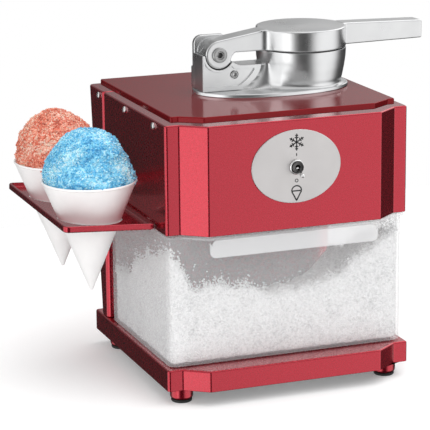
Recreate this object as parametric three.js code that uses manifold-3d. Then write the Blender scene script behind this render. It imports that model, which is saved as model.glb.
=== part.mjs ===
// Shaved ice machine: a red sheet-metal body over a clear drawer bin, with a cast hopper and a
// hinged lever lid on top and a cone holder on the left side.
// Millimetres, +Z up, +X to the right and -Y towards the user. The pieces are drawn with X = 0 on
// the body's middle plane, Y = 0 on the front panel and Z = 0 on the table; the last lines move
// the origin to the middle of the whole object's footprint.
import * as THREE from 'three';
import { mergeVertices } from 'three/addons/utils/BufferGeometryUtils.js';
import Module from 'manifold-3d';

const wasm = await Module();
wasm.setup();

// ---- driving dimensions -------------------------------------------------------------------
const GAP = 0.3;                 // clearance between pieces that rest on each other
const SHEET = 2.5;               // sheet-metal wall
const BEND = 3;                  // outside bend radius of the sheet

const FOOT_R = 11.2;
const PAD_H = 3;
const FOOT_TOP = 14.7;
const FOOT_X = 107.8;
const FOOT_FRONT_Y = 29.5;
const FOOT_REAR_Y = 214;

const BASE = { half: 126.5, strip: 15, chamfer: 22.5, frontY: -2.2, stripY: 14.3, rearY: 241.3 };
const BASE_Z0 = 15;
const BASE_Z1 = 36;

const HOUSING = { half: 125, strip: 13.8, chamfer: 22.6, frontY: 0, stripY: 18, rearY: 202.7 };
const HOUSING_Z0 = 168;
const HOUSING_Z1 = 274;

const PLATE = { half: 113.8, strip: 7.4, chamfer: 20.9, frontY: 13.4, stripY: 27.7, rearY: 241 };
const PLATE_T = 6;

const COLUMN_HALF = HOUSING.half;
const COLUMN_FRONT_Y = 203;
const COLUMN_DEPTH_LOW = 22;     // depth at the base
const COLUMN_DEPTH_TOP = 49;     // depth at the top: the back leans outwards
const COLUMN_CORNER = 7;
const WINDOW_HALF = 104;         // service opening in the back, under the cover
const WINDOW_Z0 = 56;
const WINDOW_Z1 = 258;
const COVER_T = 2;
const COVER_HALF_W = 112;
const COVER_HALF_H = 103;
const COVER_SCREW_INSET_X = 4;
const COVER_SCREW_INSET_Z = 7;
const VENT_PITCH = 14;
const VENT_ROW_PITCH = 34;
const VENT_ROW_Z = 26;           // lower row, above the cover's middle
const VENT_HALF_W = 2.2;
const VENT_HALF_H = 13;
const GLAND_X = -70;             // cord gland, from the cover's middle
const GLAND_Z = -86;
const GLAND_HEAD_R = 9;
const GLAND_NECK_R = 6.1;
const GLAND_BORE_R = 3.6;

const BIN_HALF = 122.5;
const BIN_FRONT_Y = 20.5;
const BIN_REAR_Y = 198;
const BIN_Z0 = BASE_Z1 + GAP;
const BIN_Z1 = 166.6;
const BIN_WALL = 3;
const BIN_CORNER = 9;
const BIN_RIM_T = 2.6;
const LIP_HALF = 87;             // pull lip, under the front panel
const LIP_FRONT_Y = 0.8;
const LIP_DROP = 20;
const LIP_T = 2.6;
const LIP_CORNER = 6;

const BADGE_A = 45.7;            // half width of the oval badge
const BADGE_B = 35.5;            // half height
const TOGGLE_Z = 228.3;
const TOGGLE_TILT = 16;          // degrees below level when off
const BUSHING_R = 5.8;
const NUT_R = 7.4;
const NUT_T = 2.2;
const BAT_LENGTH = 22;

const HOLDER_TILT = 3.5;         // degrees, the outer edge is the higher one
const HOLDER_W = 91;
const HOLDER_Y0 = 43.3;
const HOLDER_Y1 = 241.5;
const HOLDER_H = 6;
const HOLDER_FLOOR = 1.8;
const HOLDER_WALL = 2.4;
const HOLDER_HOLE_R = 32;
const HOLDER_SCREW_YS = [72, 182];
const HOLDER_TOP_Z = 174.9;      // rim height at the body
const CONE_U = 50;               // cone axis, out from the body side
const CONE_PITCH = 96;
const CONE_R = 45.4;
const CONE_H = 109.3;
const CONE_RIM_Z = 210;
const CONE_WALL = 1.3;
const CONE_LIP = 0.8;            // how far the rolled rim stands out

const BOWL_X = 58;
const BOWL_Y = 125;
const BOWL_R_LOW = 38.4;
const BOWL_R_TOP = 45.15;
const BOWL_WALL = 3;
const THROAT_R = 26;             // inside radius of the neck over the blades
const NECK_Z0 = 268.2;
const SEAM_Z = 321;              // where the lid meets the bowl
const FLANGE_A = 80.5;           // half length of the oval flange
const FLANGE_B = 48;
const FLANGE_X = 26;
const FLANGE_T = 3.4;

const PIVOT_X = -34.8;
const PIVOT_Z = 320;
const HUB_R = 14;
const ARM_Y0 = 109.5;
const ARM_Y1 = 133;
const LID_TOP_Z = 342.6;
const HANDLE_END_X = 187;
const HANDLE_HALF_W = 10.5;
const HANDLE_END_TOP = 339.6;    // the handle thins towards its end
const HANDLE_END_LOW = 323.4;
const PIN_R = 4;
const PIN_HEAD_R = 7.5;

const BRACKET_X0 = -52.5;
const BRACKET_X1 = 9;
const BRACKET_FOOT_X = -9;
const BRACKET_STEP_Z = 308.5;
const POCKET_DEPTH = 2.1;
const CHEEK_T = 5.9;
const CHEEK_TOP_Z = 337;
const BRACKET_SCREW_X = -18.9;
const BRACKET_SCREW_Z = 299.5;

const DISC_X = 0;
const DISC_Y = 104;
const DISC_R = 88;
const DISC_Z0 = 259;
const DISC_T = 3;
const SHAFT_R = 4;
const SHAFT_Z0 = 222;
const MOTOR_R = 27;
const MOTOR_Z0 = 182;
const MOTOR_TOP = 240;
const MOUNT_HALF_X = 26;
const MOUNT_HALF_Y = 38;
const MOUNT_T = 3;
const BLADE_HUB_R = 12;
const BLADE_HUB_Z0 = 250;
const BLADE_MID_R = 60;
const BLADE_HALF = 23;
const CHUTE_R = 30;
const CHUTE_WALL = 2;
const CHUTE_TOP = 246;

const SIDE_SCREW_Z = 268.5;
const SIDE_SCREW_YS = [49.6, 134.2, 216.3];

const PLATE_Z0 = HOUSING_Z1 + GAP;
const PLATE_Z1 = PLATE_Z0 + PLATE_T;
const FLANGE_Z0 = PLATE_Z1 + GAP;
const FLANGE_Z1 = FLANGE_Z0 + FLANGE_T;
const FLOOR_Z0 = HOUSING_Z0 + 0.2;
const FLOOR_Z1 = FLOOR_Z0 + 1.6;
const CONE_YS = [-1, 1].map((side) => (HOLDER_Y0 + HOLDER_Y1 + side * CONE_PITCH) / 2);
const CHEEK_Y0 = ARM_Y1 + 0.6;
const CHEEK_Y1 = CHEEK_Y0 + CHEEK_T;

// ---- colours ------------------------------------------------------------------------------
const finish = (color, roughness, metalness) =>
  new THREE.MeshStandardMaterial({ color, roughness, metalness });
const RED = finish(0xa01224, 0.28, 0.6);
const RED_DARK = finish(0x7c0e1c, 0.4, 0.4);
const CAST = finish(0xb9bbbd, 0.35, 0.9);
const STEEL = finish(0xc9cbcd, 0.25, 1);
const CHROME = finish(0xe6e8ea, 0.1, 1);
const BADGE_GREY = finish(0xcdc8c6, 0.45, 0.3);
const CLEAR = finish(0xe8eef0, 0.1, 0);
const WHITE = finish(0xf2f0ee, 0.5, 0);
const BLACK = finish(0x161616, 0.7, 0);
const GREY = finish(0x6d7073, 0.5, 0.5);

// ---- shape helpers ------------------------------------------------------------------------
const RAD = Math.PI / 180;
const V2 = (x, y) => new THREE.Vector2(x, y);

function toSolid(geometry) {
  const bare = geometry.clone();
  bare.deleteAttribute('normal');
  bare.deleteAttribute('uv');
  const merged = mergeVertices(bare, 1e-4);
  return new wasm.Manifold(new wasm.Mesh({
    numProp: 3,
    vertProperties: new Float32Array(merged.attributes.position.array),
    triVerts: new Uint32Array(merged.index.array),
  }));
}

function toGeometry(solid) {
  const mesh = solid.getMesh();
  const geometry = new THREE.BufferGeometry();
  geometry.setAttribute('position', new THREE.BufferAttribute(mesh.vertProperties, 3));
  geometry.setIndex(new THREE.BufferAttribute(mesh.triVerts, 1));
  geometry.computeVertexNormals();
  return geometry;
}

const cut = (body, ...tools) =>
  toGeometry(tools.reduce((solid, tool) => solid.subtract(toSolid(tool)), toSolid(body)));
const join = (body, ...others) =>
  toGeometry(others.reduce((solid, other) => solid.add(toSolid(other)), toSolid(body)));

function box(x0, x1, y0, y1, z0, z1) {
  const geometry = new THREE.BoxGeometry(x1 - x0, y1 - y0, z1 - z0);
  return geometry.translate((x0 + x1) / 2, (y0 + y1) / 2, (z0 + z1) / 2);
}

// A shape through the points, with every corner rounded by the radius.
function roundedShape(points, radius) {
  const shape = new THREE.Shape();
  points.forEach((point, index) => {
    const previous = points[(index + points.length - 1) % points.length];
    const next = points[(index + 1) % points.length];
    const from = previous.clone().sub(point);
    const to = next.clone().sub(point);
    const reach = Math.min(radius, from.length() / 2.1, to.length() / 2.1);
    const a = point.clone().add(from.setLength(reach));
    const b = point.clone().add(to.setLength(reach));
    if (index === 0) shape.moveTo(a.x, a.y);
    else shape.lineTo(a.x, a.y);
    shape.quadraticCurveTo(point.x, point.y, b.x, b.y);
  });
  shape.closePath();
  return shape;
}

// Extrusion of a plan outline from z0 to z1.
function prism(shape, z0, z1, curveSegments = 3) {
  const options = { depth: z1 - z0, bevelEnabled: false, curveSegments };
  return new THREE.ExtrudeGeometry(shape, options).translate(0, 0, z0);
}

// Extrusion along Y of an outline drawn as (x, z).
function slab(shape, y0, y1, curveSegments = 6) {
  return prism(shape, 0, y1 - y0, curveSegments).rotateX(Math.PI / 2).translate(0, y1, 0);
}

function rodZ(x, y, radius, z0, z1, sides = 24) {
  const geometry = new THREE.CylinderGeometry(radius, radius, z1 - z0, sides);
  return geometry.rotateX(Math.PI / 2).translate(x, y, (z0 + z1) / 2);
}

function rodY(x, z, radius, y0, y1, sides = 24) {
  return new THREE.CylinderGeometry(radius, radius, y1 - y0, sides).translate(x, (y0 + y1) / 2, z);
}

function rodX(y, z, radius, x0, x1, sides = 16) {
  const geometry = new THREE.CylinderGeometry(radius, radius, x1 - x0, sides);
  return geometry.rotateZ(Math.PI / 2).translate((x0 + x1) / 2, y, z);
}

// Holes through both side walls, for a screw along X at (y, z).
const sideHoles = (y, z, radius) => [-1, 1].map((side) =>
  rodX(y, z, radius, side * HOUSING.half - 20, side * HOUSING.half + 20));

// Turned body about Z at (x, y); the profile is a list of [radius, z].
function turned(x, y, profile, sides = 40) {
  const geometry = new THREE.LatheGeometry(profile.map(([r, z]) => V2(r, z)), sides);
  return geometry.rotateX(Math.PI / 2).translate(x, y, 0);
}

// Plan outline with the stepped front corners that base, housing and top plate share.
function steppedOutline(d, inset = 0, rearY = d.rearY) {
  const half = d.half - inset;
  const stripX = d.half - d.strip - inset * 0.4;
  const frontX = d.half - d.strip - d.chamfer - inset * 0.4;
  const points = [
    V2(-half, d.stripY + inset),
    V2(-stripX, d.stripY + inset),
    V2(-frontX, d.frontY + inset),
    V2(frontX, d.frontY + inset),
    V2(stripX, d.stripY + inset),
    V2(half, d.stripY + inset),
    V2(half, rearY - inset),
    V2(-half, rearY - inset),
  ];
  return roundedShape(points, Math.max(BEND - inset, 0.5));
}

const rectangle = (x0, x1, y0, y1) => [V2(x0, y0), V2(x1, y0), V2(x1, y1), V2(x0, y1)];

function ellipse(cx, cy, a, b, power, steps) {
  const shape = new THREE.Shape();
  for (let i = 0; i < steps; i += 1) {
    const t = (i / steps) * 2 * Math.PI;
    const c = Math.cos(t);
    const s = Math.sin(t);
    const x = cx + a * Math.sign(c) * Math.abs(c) ** (2 / power);
    const y = cy + b * Math.sign(s) * Math.abs(s) ** (2 / power);
    if (i === 0) shape.moveTo(x, y);
    else shape.lineTo(x, y);
  }
  shape.closePath();
  return shape;
}

// Pan-head screw along -Z: the head's top is at z = 2, the shank goes down from z = 0.
function panScrew(headR, shankR, length) {
  return turned(0, 0, [
    [0, -length], [shankR, -length], [shankR, 0], [headR, 0], [headR, 0.9], [headR * 0.6, 2], [0, 2],
  ], 12);
}

const machine = new THREE.Group();

function add(name, geometry, material, parent = machine) {
  const mesh = new THREE.Mesh(geometry, material);
  mesh.name = name;
  parent.add(mesh);
  return mesh;
}

// ---- feet and base ------------------------------------------------------------------------
const footPlaces = [
  ['front_left', -FOOT_X, FOOT_FRONT_Y],
  ['front_right', FOOT_X, FOOT_FRONT_Y],
  ['rear_left', -FOOT_X, FOOT_REAR_Y],
  ['rear_right', FOOT_X, FOOT_REAR_Y],
];
for (const [place, x, y] of footPlaces) {
  const pad = add(`foot_pad_${place}`, rodZ(0, 0, FOOT_R - 1, 0, PAD_H, 20), BLACK);
  pad.position.set(x, y, 0);
  const foot = add(`foot_${place}`, rodZ(0, 0, FOOT_R, PAD_H + GAP, FOOT_TOP, 20), RED);
  foot.position.set(x, y, 0);
}

// The base is a tray turned upside down; a flat plate closes it from below.
const basePlateTop = BASE_Z0 + 1.8;
add('base_tray', cut(
  prism(steppedOutline(BASE), BASE_Z0, BASE_Z1),
  prism(steppedOutline(BASE, SHEET), BASE_Z0 - 1, BASE_Z1 - SHEET),
), RED);
add('base_plate', prism(steppedOutline(BASE, SHEET + GAP), BASE_Z0, basePlateTop), GREY);

// ---- rear column --------------------------------------------------------------------------
// A rounded box whose back leans outwards: its lower outline is shallower than its upper one.
function leaningBox(inset, z0, z1) {
  const back = COLUMN_FRONT_Y + COLUMN_DEPTH_TOP - inset;
  const outline = rectangle(-COLUMN_HALF + inset, COLUMN_HALF - inset, COLUMN_FRONT_Y + inset, back);
  const geometry = prism(roundedShape(outline, COLUMN_CORNER - inset), z0, z1, 4);
  const place = geometry.attributes.position;
  const height = HOUSING_Z1 - BASE_Z1;
  for (let i = 0; i < place.count; i += 1) {
    const depth = place.getY(i) - COLUMN_FRONT_Y - inset;
    const rise = (place.getZ(i) - BASE_Z1) / height;
    const here = COLUMN_DEPTH_LOW + (COLUMN_DEPTH_TOP - COLUMN_DEPTH_LOW) * rise;
    const scale = (here - 2 * inset) / (COLUMN_DEPTH_TOP - 2 * inset);
    place.setY(i, COLUMN_FRONT_Y + inset + depth * scale);
  }
  return geometry;
}
const COLUMN_Z0 = BASE_Z1 + GAP;
const lean = Math.atan((COLUMN_DEPTH_TOP - COLUMN_DEPTH_LOW) / (HOUSING_Z1 - BASE_Z1));
const wiringHalf = 90;
const COLUMN_END_Y = COLUMN_FRONT_Y + COLUMN_DEPTH_TOP + 50;
add('rear_column', cut(
  leaningBox(0, COLUMN_Z0, HOUSING_Z1),
  leaningBox(SHEET, COLUMN_Z0 + SHEET, HOUSING_Z1 - SHEET),
  box(-WINDOW_HALF, WINDOW_HALF, COLUMN_FRONT_Y + 8, COLUMN_END_Y, WINDOW_Z0, WINDOW_Z1),
  box(-wiringHalf, wiringHalf, COLUMN_FRONT_Y - 5, COLUMN_FRONT_Y + 6, HOUSING_Z0 + 8, HOUSING_Z1 - 12),
  ...sideHoles(SIDE_SCREW_YS[2], SIDE_SCREW_Z, 2),
), RED);

// The cover lies on the leaning back. Its group is turned with the back, and holds its screws and
// the cord gland.
const cover = new THREE.Group();
const windowMidZ = (WINDOW_Z0 + WINDOW_Z1) / 2;
const backY = COLUMN_FRONT_Y + COLUMN_DEPTH_LOW + (windowMidZ - BASE_Z1) * Math.tan(lean);
cover.position.set(0, backY, windowMidZ);
cover.rotation.x = -lean;
machine.add(cover);
const coverScrews = [
  ['top_left', -1, 1], ['top_right', 1, 1], ['bottom_left', -1, -1], ['bottom_right', 1, -1],
].map(([place, sx, sz]) => ({
  place,
  x: sx * (COVER_HALF_W - COVER_SCREW_INSET_X),
  z: sz * (COVER_HALF_H - COVER_SCREW_INSET_Z),
}));
const vents = [];
for (let row = 0; row < 2; row += 1) {
  for (let i = 0; i < 9; i += 1) {
    const x = (i - 4) * VENT_PITCH;
    const z = VENT_ROW_Z + row * VENT_ROW_PITCH;
    vents.push(box(x - VENT_HALF_W, x + VENT_HALF_W, -5, 10, z - VENT_HALF_H, z + VENT_HALF_H));
  }
}
const coverCorners = rectangle(-COVER_HALF_W, COVER_HALF_W, -COVER_HALF_H, COVER_HALF_H);
add('rear_cover', cut(
  slab(roundedShape(coverCorners, 6), GAP, GAP + COVER_T),
  ...vents,
  rodY(GLAND_X, GLAND_Z, GLAND_NECK_R + 0.4, -5, 10),
  ...coverScrews.map(({ x, z }) => rodY(x, z, 1.7, -5, 10, 10)),
), RED_DARK, cover);
for (const { place, x, z } of coverScrews) {
  const screw = add(`cover_screw_${place}`, panScrew(3, 1.4, 2), STEEL, cover);
  screw.rotation.x = -Math.PI / 2;
  screw.position.set(x, GAP * 2 + COVER_T, z);
}
add('cord_gland', cut(
  join(
    rodY(GLAND_X, GLAND_Z, GLAND_HEAD_R, COVER_T + 2 * GAP, COVER_T + 6, 20),
    rodY(GLAND_X, GLAND_Z, GLAND_NECK_R, -3, COVER_T + 5, 20),
  ),
  rodY(GLAND_X, GLAND_Z, GLAND_BORE_R, -10, 20, 16),
), BLACK, cover);

// ---- upper housing ------------------------------------------------------------------------
const throatHole = (z0, z1) => rodZ(BOWL_X, BOWL_Y, THROAT_R + BOWL_WALL + 0.6, z0, z1, 40);
const sideScrewHoles = SIDE_SCREW_YS.slice(0, 2).flatMap((y) => sideHoles(y, SIDE_SCREW_Z, 2));
const HOLDER_SCREW_Z = HOLDER_TOP_Z - 2.4;
add('upper_housing', cut(
  prism(steppedOutline(HOUSING), HOUSING_Z0, HOUSING_Z1),
  prism(steppedOutline(HOUSING, SHEET, HOUSING.rearY + 10), HOUSING_Z0 - 1, HOUSING_Z1 - SHEET),
  throatHole(HOUSING_Z1 - 10, HOUSING_Z1 + 10),
  rodY(0, TOGGLE_Z, BUSHING_R + 0.4, -10, 10),
  ...sideScrewHoles,
  ...HOLDER_SCREW_YS.map((y) => sideHoles(y, HOLDER_SCREW_Z, 1.8)[0]),
), RED);
add('top_plate', cut(
  prism(steppedOutline(PLATE), PLATE_Z0, PLATE_Z1),
  throatHole(PLATE_Z0 - 5, PLATE_Z1 + 5),
), RED_DARK);
add('housing_floor', cut(
  prism(steppedOutline(HOUSING, SHEET + GAP, HOUSING.rearY + 2), FLOOR_Z0, FLOOR_Z1),
  rodZ(BOWL_X, BOWL_Y, CHUTE_R + 0.4, FLOOR_Z0 - 5, FLOOR_Z1 + 5, 32),
), WHITE);
add('discharge_chute', turned(BOWL_X, BOWL_Y, [
  [CHUTE_R - CHUTE_WALL, FLOOR_Z0 - GAP], [CHUTE_R, FLOOR_Z0 - GAP], [CHUTE_R, FLOOR_Z1 + GAP],
  [CHUTE_R + 4, FLOOR_Z1 + GAP], [CHUTE_R + 4, FLOOR_Z1 + GAP + CHUTE_WALL],
  [CHUTE_R, FLOOR_Z1 + GAP + CHUTE_WALL], [CHUTE_R, CHUTE_TOP], [CHUTE_R - CHUTE_WALL, CHUTE_TOP],
  [CHUTE_R - CHUTE_WALL, FLOOR_Z0 - GAP],
], 32), WHITE);

for (const [side, sign] of [['left', -1], ['right', 1]]) {
  SIDE_SCREW_YS.forEach((y, index) => {
    const screw = add(`side_screw_${side}_${index + 1}`, panScrew(3.4, 1.7, 7), STEEL);
    screw.rotation.y = sign * Math.PI / 2;
    screw.position.set(sign * (HOUSING.half + GAP), y, SIDE_SCREW_Z);
  });
}

// ---- badge and toggle switch --------------------------------------------------------------
const BADGE_T = 0.9;
const badgeY = -GAP - BADGE_T;
add('badge', cut(
  slab(ellipse(0, TOGGLE_Z + 0.5, BADGE_A, BADGE_B, 2, 48), badgeY, -GAP),
  rodY(0, TOGGLE_Z, BUSHING_R + 0.4, -10, 10),
), BADGE_GREY);
const nutBack = badgeY - GAP;
const nutFront = nutBack - NUT_T;
add('toggle_nut', cut(
  rodY(0, TOGGLE_Z, NUT_R, nutFront, nutBack, 28),
  rodY(0, TOGGLE_Z, BUSHING_R + 0.35, -20, 10, 20),
), CHROME);
const bushingFront = nutFront - 2.2;
const LEVER_PIVOT_Y = 3;
const switchFront = SHEET + GAP;
// The bushing is a sleeve with a flared mouth, open to the switch body behind it.
const bushing = new THREE.LatheGeometry([
  V2(2.6, -switchFront + GAP), V2(BUSHING_R, -switchFront + GAP), V2(BUSHING_R, -bushingFront),
  V2(4.6, -bushingFront), V2(2.6, -bushingFront - 6), V2(2.6, -switchFront + GAP),
], 20);
add('toggle_bushing', bushing.rotateX(Math.PI).translate(0, 0, TOGGLE_Z), CHROME);
add('switch_body', cut(
  box(-10, 10, switchFront, 25, TOGGLE_Z - 14, TOGGLE_Z + 14),
  rodY(0, TOGGLE_Z, 2.6, -5, 9, 16),
), BLACK);
// The bat lever is drawn along +Y from its pivot and turned to its off position.
const bat = new THREE.LatheGeometry([
  V2(0, -1.2), V2(1, -0.6), V2(1.1, 3), V2(1.4, 9), V2(2.3, BAT_LENGTH - 3), V2(2.2, BAT_LENGTH - 1),
  V2(1.2, BAT_LENGTH), V2(0, BAT_LENGTH),
], 14);
const toggleLever = add('toggle_lever', bat, CHROME);
toggleLever.rotation.x = Math.PI + TOGGLE_TILT * RAD;
toggleLever.position.set(0, LEVER_PIVOT_Y, TOGGLE_Z);

// ---- ice bin ------------------------------------------------------------------------------
// The rim follows the body's plan, the walls are a plain rounded rectangle.
const binRim = {
  ...HOUSING,
  half: HOUSING.half - 1.2,
  frontY: LIP_FRONT_Y,
  stripY: HOUSING.stripY + 1,
  rearY: BIN_REAR_Y,
};
const binWalls = (inset) => roundedShape(rectangle(
  -BIN_HALF + inset, BIN_HALF - inset, BIN_FRONT_Y + inset, BIN_REAR_Y - inset,
), BIN_CORNER - inset * 0.7);
const lipShape = roundedShape(rectangle(-LIP_HALF, LIP_HALF, BIN_Z1 - LIP_DROP, BIN_Z1 - 1), LIP_CORNER);
add('ice_bin', cut(
  join(
    prism(binWalls(0), BIN_Z0, BIN_Z1 - 1, 4),
    prism(steppedOutline(binRim), BIN_Z1 - BIN_RIM_T, BIN_Z1),
    slab(lipShape, LIP_FRONT_Y, LIP_FRONT_Y + LIP_T, 3),
  ),
  prism(binWalls(BIN_WALL), BIN_Z0 + BIN_WALL, BIN_Z1 + 5, 4),
), CLEAR);

// ---- cone holder --------------------------------------------------------------------------
// Drawn level, with X = 0 on its inner edge and Z = 0 on its rim, then turned about that edge.
const holder = new THREE.Group();
holder.position.set(-HOUSING.half - 0.9, 0, HOLDER_TOP_Z);
holder.rotation.y = HOLDER_TILT * RAD;
machine.add(holder);
const holderOutline = (inset, corner) => roundedShape(
  rectangle(-HOLDER_W + inset, -inset, HOLDER_Y0 + inset, HOLDER_Y1 - inset), corner);
add('cone_holder', cut(
  prism(holderOutline(0, 6), -HOLDER_H, 0, 4),
  prism(holderOutline(HOLDER_WALL, 4), -HOLDER_H + HOLDER_FLOOR, 5, 4),
  ...CONE_YS.map((y) => rodZ(-CONE_U, y, HOLDER_HOLE_R, -20, 5, 36)),
  ...HOLDER_SCREW_YS.map((y) => rodX(y, HOLDER_SCREW_Z - HOLDER_TOP_Z, 1.6, -2, 5, 10)),
), RED, holder);
HOLDER_SCREW_YS.forEach((y, index) => {
  const screw = add(`holder_screw_${index + 1}`, panScrew(2.4, 1.2, 4), STEEL);
  screw.rotation.y = Math.PI / 2;
  screw.position.set(-HOUSING.half + SHEET + GAP, y, HOLDER_SCREW_Z);
});

// Hollow cones with a rolled rim; they hang by their own taper.
['front', 'rear'].forEach((place, index) => {
  const cone = add(`cone_${place}`, turned(0, 0, [
    [0, -CONE_H + 0.6], [1.2, -CONE_H + 1], [CONE_R, 0], [CONE_R + CONE_LIP, 0.4],
    [CONE_R + CONE_LIP, 1.7], [CONE_R - 0.4, 2.2], [CONE_R - CONE_WALL, 1],
    [1, -CONE_H + 4], [0, -CONE_H + 3.6],
  ], 36), WHITE);
  cone.position.set(-HOUSING.half - 0.9 - CONE_U, CONE_YS[index], CONE_RIM_Z);
});

// ---- hopper -------------------------------------------------------------------------------
const flange = prism(ellipse(FLANGE_X, BOWL_Y + 2, FLANGE_A, FLANGE_B, 2.2, 56), FLANGE_Z0, FLANGE_Z1);
const neckR = THROAT_R + BOWL_WALL;
const outsideOfBowl = turned(BOWL_X, BOWL_Y, [
  [0, NECK_Z0], [neckR, NECK_Z0], [neckR, FLANGE_Z0 + 1], [BOWL_R_LOW, FLANGE_Z0 + 1],
  [BOWL_R_LOW, FLANGE_Z1], [42.2, 296], [44.3, 308], [BOWL_R_TOP, SEAM_Z - GAP], [0, SEAM_Z - GAP],
], 48);
const insideOfBowl = turned(BOWL_X, BOWL_Y, [
  [0, NECK_Z0 - 5], [THROAT_R, NECK_Z0 - 5], [THROAT_R, FLANGE_Z0], [36, 292], [40, 306],
  [BOWL_R_TOP - BOWL_WALL, SEAM_Z + 5], [0, SEAM_Z + 5],
], 48);
add('hopper', cut(join(flange, outsideOfBowl), insideOfBowl), CAST);

// ---- hinge bracket ------------------------------------------------------------------------
// A plate under the arm with a saddle for the hub, and a cheek behind the arm that holds the pin.
const bracketProfile = new THREE.Shape();
const bracketZ0 = FLANGE_Z1 + GAP;
const saddleR = HUB_R + 0.8;
bracketProfile.moveTo(BRACKET_X0, bracketZ0);
bracketProfile.lineTo(BRACKET_X0, PIVOT_Z);
bracketProfile.lineTo(PIVOT_X - saddleR, PIVOT_Z);
bracketProfile.absarc(PIVOT_X, PIVOT_Z, saddleR, Math.PI, Math.PI * 1.87, false);
bracketProfile.quadraticCurveTo(
  PIVOT_X + HUB_R + 4, BRACKET_STEP_Z + 0.5, PIVOT_X + HUB_R + 10, BRACKET_STEP_Z,
);
bracketProfile.lineTo(BRACKET_X1, BRACKET_STEP_Z);
bracketProfile.quadraticCurveTo(BRACKET_X1 - 3, BRACKET_STEP_Z - 15.5, BRACKET_FOOT_X, bracketZ0);
bracketProfile.closePath();
const pocket = roundedShape([
  V2(BRACKET_X0 + 4, bracketZ0 + 5), V2(-12, bracketZ0 + 5), V2(-3, 295), V2(1, BRACKET_STEP_Z - 3.5),
  V2(-20, BRACKET_STEP_Z - 3.5), V2(-26, 302), V2(-44, 302), V2(BRACKET_X0 + 4, 306),
], 2);
const cheek = roundedShape([
  V2(BRACKET_X0, bracketZ0), V2(BRACKET_X0, CHEEK_TOP_Z), V2(-27, CHEEK_TOP_Z),
  V2(-24, PIVOT_Z - 9), V2(-20, bracketZ0),
], 12);
add('hinge_bracket', cut(
  join(
    slab(bracketProfile, ARM_Y0 - 0.5, CHEEK_Y0 + 1),
    slab(cheek, CHEEK_Y0, CHEEK_Y1),
    box(BRACKET_X0, -22, CHEEK_Y0 + 2, CHEEK_Y1 + 4, bracketZ0, 306),
  ),
  slab(pocket, ARM_Y0 - 5, ARM_Y0 - 0.5 + POCKET_DEPTH),
  rodY(PIVOT_X, PIVOT_Z, PIN_R + 0.4, 130, 160),
  rodY(BRACKET_SCREW_X, BRACKET_SCREW_Z, 1.9, 100, 122, 12),
), CAST);
const bracketScrew = add('bracket_screw', panScrew(3.7, 1.6, 8), STEEL);
bracketScrew.rotation.x = Math.PI / 2;
bracketScrew.position.set(BRACKET_SCREW_X, ARM_Y0 - 0.5 + POCKET_DEPTH - GAP, BRACKET_SCREW_Z);

add('hinge_pin', join(
  rodY(PIVOT_X, PIVOT_Z, PIN_R, ARM_Y0 - 1, CHEEK_Y1 + 8),
  rodY(PIVOT_X, PIVOT_Z, PIN_HEAD_R, ARM_Y0 - 2.6, ARM_Y0 - GAP, 28),
), STEEL);
add('hinge_nut', cut(
  rodY(PIVOT_X, PIVOT_Z, 7, CHEEK_Y1 + GAP, CHEEK_Y1 + 5.5, 6),
  rodY(PIVOT_X, PIVOT_Z, PIN_R + GAP, 100, 200),
), STEEL);

// ---- lever lid ----------------------------------------------------------------------------
const armProfile = new THREE.Shape();
armProfile.moveTo(PIVOT_X, PIVOT_Z - HUB_R);
armProfile.absarc(PIVOT_X, PIVOT_Z, HUB_R, -Math.PI / 2, -Math.PI * 1.47, true);
armProfile.lineTo(14, LID_TOP_Z - 0.6);
armProfile.lineTo(24, LID_TOP_Z - 0.6);
armProfile.lineTo(24, SEAM_Z + GAP);
armProfile.lineTo(PIVOT_X + HUB_R + 1.5, SEAM_Z + GAP);
armProfile.quadraticCurveTo(PIVOT_X + HUB_R - 1, SEAM_Z - 2, PIVOT_X + HUB_R - 2.2, PIVOT_Z - 7);
armProfile.absarc(PIVOT_X, PIVOT_Z, HUB_R, -Math.PI / 6, -Math.PI / 2, true);
const lidDisc = turned(BOWL_X, BOWL_Y, [
  [0, SEAM_Z + GAP], [BOWL_R_TOP, SEAM_Z + GAP], [BOWL_R_TOP, LID_TOP_Z - 2],
  [BOWL_R_TOP - 2, LID_TOP_Z], [0, LID_TOP_Z],
], 48);
const handleX0 = BOWL_X + 20;    // inside the disc
const handleShape = roundedShape([
  V2(handleX0, SEAM_Z + 1), V2(HANDLE_END_X, HANDLE_END_LOW), V2(HANDLE_END_X, HANDLE_END_TOP),
  V2(BOWL_X + BOWL_R_TOP, LID_TOP_Z - 0.4), V2(handleX0, LID_TOP_Z - 0.4),
], 3);
const lidRecessR = BOWL_R_TOP - 6;
const lidRecessZ = SEAM_Z + 6;
add('lever_lid', cut(
  join(
    slab(armProfile, ARM_Y0, ARM_Y1, 8),
    lidDisc,
    slab(handleShape, BOWL_Y - HANDLE_HALF_W, BOWL_Y + HANDLE_HALF_W, 3),
  ),
  rodY(PIVOT_X, PIVOT_Z, PIN_R + 0.4, 100, 150),
  rodZ(BOWL_X, BOWL_Y, lidRecessR, SEAM_Z - 5, lidRecessZ, 32),
), CAST);
// The pusher hangs under the lid and presses the ice cubes onto the blades.
const pusherR = 34;
const pusherZ0 = 311;
const pusherZ1 = 315;
add('pusher_plate', turned(BOWL_X, BOWL_Y, [
  [0, pusherZ0], [pusherR, pusherZ0], [pusherR, pusherZ1], [9, pusherZ1],
  [9, lidRecessZ - GAP], [0, lidRecessZ - GAP],
], 36), STEEL);

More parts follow.
